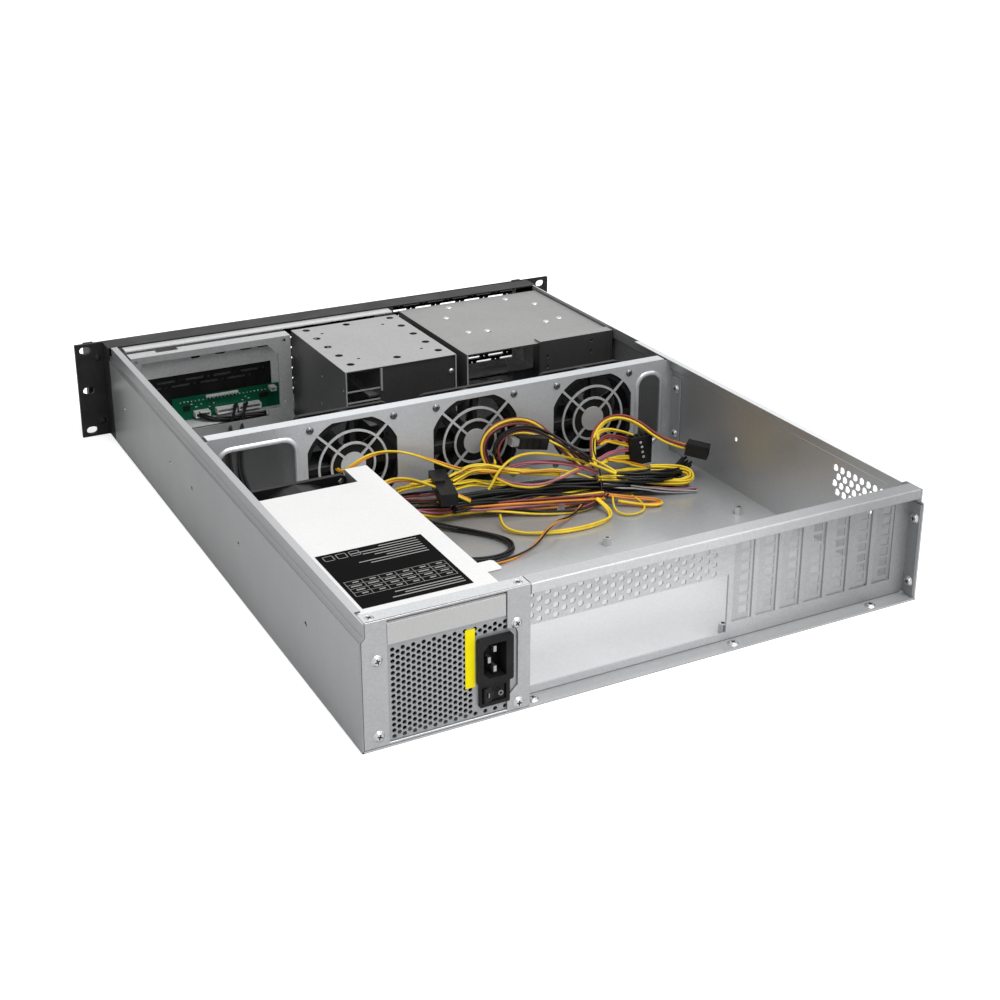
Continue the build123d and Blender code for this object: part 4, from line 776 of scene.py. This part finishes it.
def make_fan_wall():
    half, rear, top = cad("fan_wall")[1]
    rear_face = rear - 14.0
    front_face = rear_face - SHEET
    upper, notch = half - JOGGLE, half - 9.4
    side = [(half, SHEET), (half, 75.4), (upper, 78.0), (upper, 86.6), (notch, 86.6), (notch, top)]
    outlines = [side + [(-x, z) for x, z in reversed(side)]]
    openings = [((137.0, 197.0), (14.0, 75.5)), ((-201.0, -180.0), (14.0, 75.5))]
    corner = 9.0
    outlines += [rounded_points(x, z, corner) for x, z in openings]
    for i in (1, 2, 3):
        fan_x, _, fan_z = middle_of(f"fan_frame_{i}")
        outlines += guard_holes(fan_x, fan_z)
    mesh = bmesh.new()
    add_plate(mesh, outlines, (front_face, rear_face))
    weld(mesh)
    add_block(mesh, (-notch, notch), (rear_face - 11, front_face), (top - SHEET, top))
    add_block(mesh, (-150, 150), (rear_face - 8, front_face), (1.25, 2.4))
    for hand in (-1, 1):
        add_block(mesh, (hand * half, hand * (half - SHEET)), (rear_face, rear_face + 14), (6, 72))
    finish_mesh("fan_wall_sheet", mesh, [galvanised], ["fan_wall"], 0.35)
    # Section of the pressed rims: how far out of the opening, and how far to the rear
    section = ((4.0, -0.05), (3.5, 0.5), (2.6, 1.15), (1.6, 1.5), (0.8, 1.45), (0.25, 1.1), (0.0, 0.4), (0.0, -0.1))
    rims = bmesh.new()
    for x, z in openings:
        rings = []
        for grow, rise in section:
            outline = rounded_points((x[0] - grow, x[1] + grow), (z[0] - grow, z[1] + grow), corner + grow)
            rings.append([rims.verts.new((a * MM, (rear_face + rise) * MM, b * MM)) for a, b in outline])
        add_bands(rims, rings)
    finish_mesh("fan_wall_rims", rims, [galvanised])


make_fan_wall()


# Front panel: plate with its full pattern of slots and dots, and the rim behind it

def make_front_panel():
    (_, front, _), (half, rim_end, top) = cad("front_panel")
    back = front + 3.0
    outlines = [rectangle_points((-half, half), (0.0, top))]
    for hand in (-1, 1):
        for z in (5.95, 44.05, 82.15):
            outlines.append(slot_points(hand * (half - 8.73), z, 10.0, 6.8))
    # Rows of slots with a dot between them, each row only inside its fields
    pitch, slot_length, slot_height = 26.8, 18.4, 2.6
    rows = [(8.6 + 5.15 * k, -168.6, k % 2, range(-2, 9), ((-208.0, -63.0), (-50.0, 46.0))) for k in range(15)]
    rows += [(z, 120.6, k, range(-3, 4), ((64.0, 199.0),)) for k, z in enumerate((34.8, 39.9))]
    for z, start, odd, steps, fields in rows:
        start += odd * pitch / 2
        for step in steps:
            for x, length in ((start + step * pitch, slot_length), (start + (step + 0.5) * pitch, slot_height)):
                if any(low < x - length / 2 and x + length / 2 < high for low, high in fields):
                    outlines.append(slot_points(x, z, length, slot_height))
    control_z = 15.5
    outlines.append(ring_points(middle_of("power_button")[0], control_z, 5.25, 32))
    outlines.append(ring_points(middle_of("reset_button")[0], control_z, 2.25, 20))
    for x in (124.0, 116.0):
        outlines.append(ring_points(x, control_z, 1.6, 16))
    for x in (99.0, 79.0):
        outlines.append(rectangle_points((x - 6.9, x + 6.9), (control_z - 3.1, control_z + 3.1)))
    mesh = bmesh.new()
    add_plate(mesh, outlines, (front, back))
    weld(mesh)
    wide = 216.5
    for x, z in (((-wide, wide), (0.0, SHEET)), ((-wide, wide), (top - SHEET, top)),
                 ((-wide, -wide + SHEET), (SHEET, top - SHEET)), ((wide - SHEET, wide), (SHEET, top - SHEET))):
        add_block(mesh, x, (back, rim_end), z)
    add_block(mesh, (62.0, 199.0), (front + 0.9, front + 1.3), (31.0, 44.0), 1)
    finish_mesh("panel_plate", mesh, [black_paint, filter_mesh], ["front_panel"], 0.3)


make_front_panel()


# Tray: floor and joggled walls with round holes; the right wall's slim top flange starts level with the fan wall

def make_tray():
    (_, front, _), (half, rear, top) = cad("chassis_tray")
    inner, upper = half - SHEET, half - JOGGLE
    bend_low, bend_high = 76.0, 78.6
    mesh = bmesh.new()
    add_block(mesh, (-half, half), (front, rear), (0.0, SHEET), 1)

    def rail_hole(back):
        return ring_points(rear - back, 45.5, 1.9, 14)

    rail_holes = [rail_hole(back) for back in (223.6, 334.2, 391.6, 529.9)]
    vents = []
    for row in range(4):
        for column in range(8 - row % 2):
            y = rear - 96.2 + 7.5 * column + (3.75 if row % 2 else 0.0)
            vents.append(ring_points(y, 67.9 - 6.3 * row, 2.75, 16))
    for hand, holes, flange_front in ((-1, vents, -60.0), (1, [rail_hole(90.5)], front)):
        wall = [rectangle_points((front, rear), (0.0, bend_low))] + rail_holes + holes
        add_plate(mesh, wall, (hand * inner, hand * half), axis="X")
        joggle = [(hand * half, bend_low), (hand * upper, bend_high), (hand * (upper - SHEET), bend_high),
                  (hand * inner, bend_low)]
        add_plate(mesh, [joggle], (front, rear))
        add_block(mesh, (hand * upper, hand * (upper - SHEET)), (front, rear), (bend_high, top))
        flange = (hand * (upper - SHEET), hand * (upper - 5.6))
        add_block(mesh, flange, (flange_front, rear - 16.0), (top - SHEET, top))
    weld(mesh)
    finish_mesh("tray_sheet", mesh, [tray_sheet, tray_floor], ["chassis_tray"], 0.35)


make_tray()


# Supply's bracket: two legs and a thin bridge, wrapped over the top

def make_supply_frame():
    (edge, front, _), (left, rear, top) = cad("psu_frame")
    face, upper, bottom = rear - SHEET, left - JOGGLE, 1.5
    outline = [(edge, bottom), (left, bottom), (left, 75.4), (upper, 78.0), (upper, top), (edge, top)]
    window = [(198.2, 3.0), (117.3, 3.0), (117.3, 12.2), (109.9, 19.0), (109.9, 57.0), (111.5, 60.6), (117.3, 60.6),
              (117.3, 86.7), (198.2, 86.7)]
    mesh = bmesh.new()
    add_plate(mesh, [outline, window], (face, rear))
    add_block(mesh, (edge, edge + SHEET), (front, face), (bottom, top))
    holes = [ring_points(x, REAR - 6, 3.0, 20) for x in (207.0, 107.0)]
    bridge = rectangle_points((edge + SHEET, upper), (rear - 12.0, face))
    add_plate(mesh, [bridge] + holes, (top - SHEET, top), axis="Z")
    weld(mesh)
    finish_mesh("supply_bracket", mesh, [frame_sheet], ["psu_frame"], 0.4, 3)


make_supply_frame()


# Front wall: open to the top behind the wide cage

def make_front_wall():
    (_, front, _), (half, rear, top) = cad("front_wall")
    face, bottom, shoulder, inner = front + SHEET, 1.5, 74.0, 203.9
    outline = [(-half, bottom), (half, bottom), (half, shoulder), (inner, shoulder), (inner, top), (-inner, top),
               (-inner, shoulder), (-half, shoulder)]
    holes = [rectangle_points((-200.0, -68.0), (8.0, top - 0.2)), rectangle_points((-48.0, 46.0), (8.0, 80.0)),
             rectangle_points((60.0, 200.0), (6.0, 46.0))]
    for x, z, length, height in ((108.6, 62.6, 11.0, 4.6), (83.6, 62.8, 12.4, 4.6), (66.8, 63.2, 13.0, 4.8),
                                 (132.4, 61.6, 9.2, 3.6)):
        holes.append(slot_points(x, z, length, height, 6))
    mesh = bmesh.new()
    add_plate(mesh, [outline] + holes, (front, face))
    add_block(mesh, (-54.0, inner), (face, front + 30.7), (top - SHEET, top))
    add_block(mesh, (-half, half), (face, face + 24.0), (bottom, 2.7))
    for hand in (-1, 1):
        add_block(mesh, (hand * half, hand * (half - SHEET)), (face, rear), (2.7, shoulder))
    weld(mesh)
    finish_mesh("front_wall_sheet", mesh, [front_sheet], ["front_wall"], 0.3)


make_front_wall()


# Disk cage: round holes in its top; painted highlights as specks of light in its side holes and bright strips on its
# sheared edges and rear

CAGE_SIDE_HOLES = ((-230.0, 65.0), (-237.0, 36.9), (-164.0, 65.7), (-168.0, 38.4), (-114.5, 67.7), (-236.0, 12.0))


def make_disk_cage():
    (_, front, _), (_, rear, top) = cad("disk_cage")
    left, right, bottom = 52.0, -53.5, 1.3
    middle = (left + right) / 2
    mesh = bmesh.new()
    holes = [ring_points(middle + a, -179.2 + 26.7 * b, 3.5, 24) for a in (-43.5, 40.5) for b in (-2, -1, 0, 1, 2)]
    holes += [ring_points(middle - 0.9 + a, y, 3.5, 24) for a, y in ((1.5, -232.6), (-2.4, -125.4))]
    screw_holes = ((30.0, -217.5), (-30.5, -217.5), (-33.0, -137.0), (27.6, -137.0))
    holes += [ring_points(x, y, 1.5, 14) for x, y in screw_holes]
    add_plate(mesh, [rectangle_points((right, left), (front, rear))] + holes, (top - SHEET, top), axis="Z")
    side_holes = [ring_points(y, z, 1.3, 12) for y, z in CAGE_SIDE_HOLES]
    side = rectangle_points((front, rear), (bottom, top - SHEET))
    add_plate(mesh, [side] + side_holes, (left - SHEET, left), axis="X")
    add_block(mesh, (right, right + SHEET), (front, rear), (bottom, top - SHEET))
    for foot in ((right - 6, right), (left, left + 5)):
        add_block(mesh, foot, (front, rear), (bottom, 2.5))
    weld(mesh)
    finish_mesh("disk_cage_sheet", mesh, [cage_sheet], ["disk_cage"], 0.3)
    trim = bmesh.new()
    # Painted highlights on the sheared rear edges and a few lines on the rear
    for x in ((left - SHEET, left), (right, right + SHEET)):
        add_block(trim, x, (rear, rear + 0.25), (3.0, top - 0.4))
    add_block(trim, (17.6, 19.4), (rear - 2.0, rear + 0.1), (64.0, top - 1.3))
    for z, end in ((66.2, 14.6), (56.0, 11.1)):
        add_block(trim, (end, left - 1.4), (rear - 2.4, rear - 1.2), (z, z + 1.0))
        add_block(trim, (end, end + 1.0), (rear - 2.4, rear - 1.2), (z + 1.0, z + 3.0))
    add_block(trim, (right + 1.2, -20.0), (rear - 0.9, rear - 0.3), (46.8, 47.6))
    # Painted light seen through the side holes
    for y, z in CAGE_SIDE_HOLES:
        add_plate(trim, [ring_points(y, z, 1.25, 12)], (left - 1.1, left - 0.3), axis="X")
    finish_mesh("disk_cage_trim", trim, [painted_highlight])


make_disk_cage()


# Wide cage: eight small embossed studs in its top and strips on its sheared edges, all with painted highlight

def make_wide_cage_trim():
    _, rear, top = cad("wide_cage")[1]
    left, right = -62.0, -211.0
    mesh = bmesh.new()
    for x, y in ((-170.7, -238.7), (-188.9, -212.0), (-187.6, -161.7), (-171.4, -157.6), (-109.6, -158.0),
                 (-92.3, -162.2), (-92.6, -210.2), (-109.1, -238.7)):
        rings = []
        for radius, rise in ((2.9, -0.1), (2.6, 0.5), (2.0, 0.85), (1.2, 0.8), (0.9, 0.4)):
            rings.append([mesh.verts.new(((x + a) * MM, (y + b) * MM, (top + rise) * MM))
                          for a, b in ring_points(0.0, 0.0, radius, 18)])
        add_bands(mesh, rings)
        mesh.faces.new(rings[-1])
    # Painted highlights on the sheared rear edges
    for x in ((left - SHEET, left), (right, right + SHEET)):
        add_block(mesh, x, (rear, rear + 0.25), (56.0, top - 0.4))
    finish_mesh("wide_cage_studs", mesh, [painted_highlight])


make_wide_cage_trim()


# Screws: domed heads with a cross recess

def add_screw(mesh, place, outward, radius, height, turn, slot=0):
    """place is on the sheet, in millimetres; the recess is a real pocket whose walls and floor, of material 1, are
    painted shade.
    """
    sides = 24
    arm, half_width, deep = radius * 0.62, radius * 0.17, height * 0.55
    spin = Matrix.Rotation(turn, 4, "Z")
    facing = Vector(outward).to_track_quat("Z", "Y").to_matrix().to_4x4()
    matrix = Matrix.Translation([v * MM for v in place]) @ facing @ spin

    def vertex(x, y, z):
        return mesh.verts.new(matrix @ Vector((x * MM, y * MM, z * MM)))

    # From the flange at the sheet to the edge of the dome
    profile = [(radius * 1.32, 0.0), (radius * 1.3, 0.45), (radius * 1.02, 0.6), (radius * 0.98, height * 0.5),
               (radius * 0.9, height * 0.78), (radius * 0.76, height * 0.93)]
    rings = []
    for r, z in profile:
        rings.append([vertex(x, y, z) for x, y in ring_points(0.0, 0.0, r, sides)])
    add_bands(mesh, rings, slot)
    plus = [(arm, -half_width), (arm, half_width), (half_width, half_width), (half_width, arm), (-half_width, arm),
            (-half_width, half_width), (-arm, half_width), (-arm, -half_width), (-half_width, -half_width),
            (-half_width, -arm), (half_width, -arm), (half_width, -half_width)]
    lips = [vertex(x, y, height) for x, y in plus]
    floors = [vertex(x * 0.85, y * 0.85, height - deep) for x, y in plus]
    edges = []
    for ring in (rings[-1], lips):
        for pair in zip(ring[-1:] + ring, ring):
            edges.append(mesh.edges.get(pair) or mesh.edges.new(pair))
    filled = bmesh.ops.triangle_fill(mesh, use_beauty=True, use_dissolve=False, edges=edges)
    for item in filled["geom"]:
        if isinstance(item, bmesh.types.BMFace):
            centre = matrix.inverted() @ item.calc_center_median() / MM
            item.material_index = slot
            if max(abs(centre.x), abs(centre.y)) < half_width * 0.9:
                mesh.faces.remove(item)
    # The recess walls and floor take material 1, painted shade
    for k in range(len(plus)):
        mesh.faces.new((lips[k - 1], lips[k], floors[k], floors[k - 1])).material_index = 1
    mesh.faces.new(floors).material_index = 1


def make_screws():
    side, top = 214.1, 88.1
    bracket = ((205.4, 61.5), (205.4, 9.5), (111.0, 63.6), (109.5, 6.5))
    places = [((x, REAR, z), (0, 1, 0), 2.9, 1.8) for x, z in bracket]
    places += [((x, REAR - 6, top - SHEET), (0, 0, 1), 3.0, 1.2) for x in (207.0, 107.0)]
    places += [((x, REAR - 6, SHEET), (0, 0, 1), 3.0, 1.8) for x in (95.6, -60.6, -180.0)]
    places += [((-side, REAR - 6, z), (1, 0, 0), 3.0, 1.8) for z in (13.0, 63.0)]
    for hand in (-1, 1):
        places += [((hand * (side - 0.3), REAR - 312, z), (-hand, 0, 0), 3.0, 1.8) for z in (20.0, 62.0)]
    places.append(((-48.9, REAR - 422, 70.8), (0, 1, 0), 1.9, 1.4))
    mesh = bmesh.new()
    for k, (place, outward, radius, height) in enumerate(places):
        add_screw(mesh, place, outward, radius, height, 0.35 + 0.9 * k)
    for z in (13.9, 74.2):
        for hand in (-1, 1):
            add_screw(mesh, (hand * 222.3, REAR - 593, z), (0, 1, 0), 2.2, 1.6, 0.5, 2)
    finish_mesh("case_screw_heads", mesh, [screw_metal, painted_recess_shade, black_paint], ["case_screws"])
    mesh = bmesh.new()
    for i in (1, 2, 3):
        fan_x, _, fan_z = middle_of(f"fan_frame_{i}")
        for k, (a, b) in enumerate(((-1, -1), (-1, 1), (1, -1), (1, 1))):
            add_screw(mesh, (fan_x + a * 35.75, REAR - 320, fan_z + b * 35.75), (0, 1, 0), 2.4, 1.5, i + 0.7 * k)
    finish_mesh("fan_screw_heads", mesh, [dull_screw, painted_recess_shade], ["fan_screws"])


make_screws()


# Labels: plain fields and lines, no words

def make_label_print():
    low, high = cad("rating_label")
    z = (high[2] + 0.02, high[2] + 0.06)
    x0, x1, y0, y1 = low[0] + 3, high[0] - 3, low[1] + 3, high[1] - 3
    mesh = bmesh.new()

    def bar(x, y):
        add_block(mesh, x, y, z)

    table_low, table_high = y1 - 34.0, y1 - 13.0
    wide, tall, columns, rows = x1 - x0, table_high - table_low, 6, 4
    for k in range(rows + 1):
        y = table_low + tall * k / rows
        bar((x0, x1), (y, y + 0.35))
    for k in range(columns + 1):
        x = x0 + wide * k / columns
        bar((x, x + 0.35), (table_low, table_high))
    for row in range(rows):
        for column in range(columns):
            x = x0 + wide * (column + 0.22) / columns
            y = table_low + tall * (row + 0.36) / rows
            bar((x, x + 4.2 + 1.6 * ((row * 5 + column * 3) % 3)), (y, y + 1.3))
    for k, share in enumerate((0.72, 0.58, 0.66)):
        y = y1 - 2.6 - 3.1 * k
        bar((x0, x0 + wide * share), (y, y + 1.1))
    for k in range(7):
        y = y0 + 3.4 * k
        bar((x0 + 2, x0 + wide * (0.42 + 0.1 * ((k * 7) % 4))), (y, y + 1.0))
    for k in range(3):
        x = x1 - 7.5 - 9.0 * k
        for rim_x, rim_y in (((x, x + 7), (y0, y0 + 0.5)), ((x, x + 7), (y0 + 6.5, y0 + 7)),
                             ((x, x + 0.5), (y0, y0 + 7)), ((x + 6.5, x + 7), (y0, y0 + 7))):
            bar(rim_x, rim_y)
    finish_mesh("rating_fields", mesh, [label_print])


make_label_print()


# Controls board: solder joints, parts and pins on its rear face

def make_board_parts():
    (right, _, _), (left, face, top) = cad("front_board")
    mesh = bmesh.new()
    for k in range(26):
        x = right + 6 + 3.6 * k
        add_block(mesh, (x, x + 1.3), (face, face + 0.5), (top - 5.2, top - 4.0))
    for k in range(12):
        x = right + 42 + 2.54 * k
        add_block(mesh, (x, x + 0.64), (face, face + 6.0), (top - 2.2, top - 1.5), 1)
        add_block(mesh, (x, x + 0.64), (face, face + 0.9), (13.0, 13.7), 1)
    add_block(mesh, (right + 41, right + 72), (face, face + 2.4), (top - 3.0, top - 0.6), 2)
    add_block(mesh, (right + 12, right + 20), (face, face + 1.6), (13.5, 18.0), 3)
    add_block(mesh, (left - 16, left - 10), (face, face + 1.6), (12.5, 17.0), 3)
    for x, z in ((30, 14), (33, 16), (36, 13), (64, 15), (68, 12), (76, 16), (81, 14), (85, 17)):
        add_block(mesh, (right + x, right + x + 1.8), (face, face + 0.7), (z, z + 1.0))
    parts = [solder, pin_metal, white_plastic, black_plastic]
    finish_mesh("board_parts", mesh, parts, edge_mm=0.12, segments=1)


make_board_parts()


# Folded tab of the supply's cover, over the board's edge

def make_supply_tab():
    low, high = cad("psu_cover")
    mesh = bmesh.new()
    curve = [(0.0, 0.0), (-9.5, 0.0), (-11.3, 1.8), (-11.6, 12.5), (-9.8, 14.4), (0.0, 14.4)]
    base_x, base_y = low[0] + 0.2, 266.0
    levels = (high[2] - 1.1, high[2] - 0.1)
    rings = [[mesh.verts.new(((base_x + x) * MM, (base_y + y) * MM, z * MM)) for x, y in curve] for z in levels]
    mesh.faces.new(rings[0][::-1])
    mesh.faces.new(rings[1])
    for k in range(len(curve)):
        mesh.faces.new((rings[0][k - 1], rings[0][k], rings[1][k], rings[1][k - 1]))
    finish_mesh("supply_cover_tab", mesh, [supply_sheet], edge_mm=0.25)


make_supply_tab()


# Plain ring and dash on the rocker, riding with it

def make_rocker_marks():
    low, high = cad("switch_rocker")
    span = (high[1] - 0.5, high[1] + 0.05)
    wide, middle, radius = high[0] - low[0], (low[2] + high[2]) / 2, 1.7
    mesh = bmesh.new()
    x = low[0] + wide * 0.24
    add_plate(mesh, [ring_points(x, middle, radius, 24), ring_points(x, middle, radius * 0.68, 24)], span)
    x = low[0] + wide * 0.74
    add_block(mesh, (x - 0.35, x + 0.35), span, (middle - 1.5, middle + 1.5))
    finish_mesh("rocker_marks", mesh, [grey_plastic], body="rocker")


make_rocker_marks()


# Contacts in the four-pin plug, and the spare plug that hangs inside the left loops

def make_plug_details():
    face = cad("four_pin_connector")[1][1]
    mesh = bmesh.new()
    for x, z in ((-162.4, 29.9), (-163.9, 25.6), (-164.7, 20.8), (-165.8, 16.3)):
        add_plate(mesh, [ring_points(x, z, 1.1, 12), ring_points(x, z, 0.5, 12)], (face - 0.3, face + 0.25))
    finish_mesh("plug_contacts", mesh, [white_plastic])
    mesh = bmesh.new()
    add_block(mesh, (-72.0, -44.0), (17.0, 27.0), (43.5, 53.5))
    for k in range(4):
        add_block(mesh, (-66.0 + 6.0 * k, -63.6 + 6.0 * k), (26.9, 27.9), (44.5, 52.5))
    add_block(mesh, (-47.5, -37.5), (18.0, 26.0), (45.0, 52.0), 1)
    add_block(mesh, (-46.0, -39.0), (26.0, 26.6), (46.2, 50.8), 1)
    middle = Vector((-57.0 * MM, 22.0 * MM, 48.0 * MM))
    bmesh.ops.rotate(mesh, cent=middle, matrix=Matrix.Rotation(math.radians(-12), 3, "Y"), verts=mesh.verts)
    finish_mesh("loop_plug", mesh, [connector_plastic, grey_plastic], edge_mm=0.6)


make_plug_details()


# Materials of the solids

CONNECTORS = ["main_connector", "drive_connector", "four_pin_connector", "floor_connector", "pair_connector"]
HANDLES = ["handle_left", "handle_right"]
BUTTONS = ["power_button", "reset_button"]
PAINT = (
    (rear_sheet, ["rear_panel"]), (cage_sheet, ["disk_cage_divider"]), (wide_sheet, ["wide_cage", "wide_cage_plate"]),
    (bay_sheet, ["bay_frame"]), (supply_sheet, ["psu_cover"]),
    (cover_sheet, [f"slot_cover_{i}" for i in range(1, 8)]),
    (fan_plastic, ["psu_fan_frame", "fan_frame_1", "fan_frame_2", "fan_frame_3"]),
    (rotor_plastic, ["psu_fan_rotor", "fan_rotor_1", "fan_rotor_2", "fan_rotor_3"]),
    (black_paint, HANDLES), (black_plastic, ["power_inlet", "switch_housing", "psu_grommet"]),
    (gloss_black, ["switch_rocker"] + BUTTONS), (connector_plastic, CONNECTORS), (tie_plastic, ["cable_tie"]),
    (white_plastic, ["board_headers", "led_lenses"]), (board_green, ["front_board"]), (label_black, ["rating_label"]),
    (label_yellow, ["voltage_label"]), (screw_metal, ["standoffs"]), (pin_metal, ["inlet_pins"]),
    (port_metal, ["usb_ports"]),
)
for material, names in PAINT:
    for name in names:
        for slot in nodes[name].material_slots:
            slot.link = "DATA"
            slot.material = material

for name in ("rear_panel", "psu_cover", "disk_cage_divider", "wide_cage", "wide_cage_plate", "bay_frame"):
    soften(nodes[name], 0.3)
for name in HANDLES + ["power_inlet", "switch_housing"] + CONNECTORS + BUTTONS:
    soften(nodes[name], 0.4)


# Floor, background and lights

def make_stage():
    """A white floor that glows for the camera only."""
    made = Shader("floor", (0.9, 0.9, 0.9), 0.0, 0.9)
    camera_ray = made.node("ShaderNodeLightPath").outputs["Is Camera Ray"]
    clear, glow = (made.node("ShaderNodeEmission", {"Strength": level}).outputs["Emission"] for level in (0.0, 0.6))
    bright = made.node("ShaderNodeMixShader", {"Fac": camera_ray, 1: clear, 2: glow})
    joined = made.node("ShaderNodeAddShader", {0: made.surface.outputs["BSDF"], 1: bright.outputs["Shader"]})
    made.tree.links.new(joined.outputs["Shader"], made.tree.nodes["Material Output"].inputs["Surface"])
    mesh = bmesh.new()
    bmesh.ops.create_grid(mesh, x_segments=1, y_segments=1, size=30.0)
    data = bpy.data.meshes.new("floor")
    mesh.to_mesh(data)
    mesh.free()
    data.materials.append(made.material)
    floor = add_object("floor", data)
    floor.location.z = cad_box[0].z - 0.5 * MM


def make_world():
    """A white world, half as bright where it only lights."""
    world = bpy.data.worlds.new("studio")
    bpy.context.scene.world = world
    world.use_nodes = True
    tree = world.node_tree
    path = add_node(tree, "ShaderNodeLightPath")
    seen = path.outputs["Is Camera Ray"]
    for ray in ("Is Glossy Ray", "Is Transmission Ray"):
        seen = add_node(tree, "ShaderNodeMath", {0: seen, 1: path.outputs[ray]}, operation="MAXIMUM").outputs[0]
    strength = add_node(tree, "ShaderNodeMapRange", {"To Min": 0.5, "To Max": 1.0, "Value": seen})
    background = tree.nodes["Background"]
    feed(tree, background.inputs["Strength"], strength.outputs["Result"])
    feed(tree, background.inputs["Color"], (1.0, 1.0, 1.0, 1.0))


def lamp(name, place, size, watts):
    """A square lamp that faces the middle of the case."""
    data = bpy.data.lights.new(name, "AREA")
    data.shape = "SQUARE"
    data.size = size
    data.energy = watts
    light = add_object(name, data)
    light.location = place
    middle = Vector((0.0, 0.0, 0.05))
    light.rotation_euler = (middle - Vector(place)).to_track_quat("-Z", "Y").to_euler()


make_stage()
make_world()
lamp("key", (-0.2, 1.4, 2.4), 1.5, 49.0)
lamp("fill", (-1.8, 0.6, 1.6), 1.6, 10.0)

bpy.context.scene.view_settings.view_transform = "Standard"
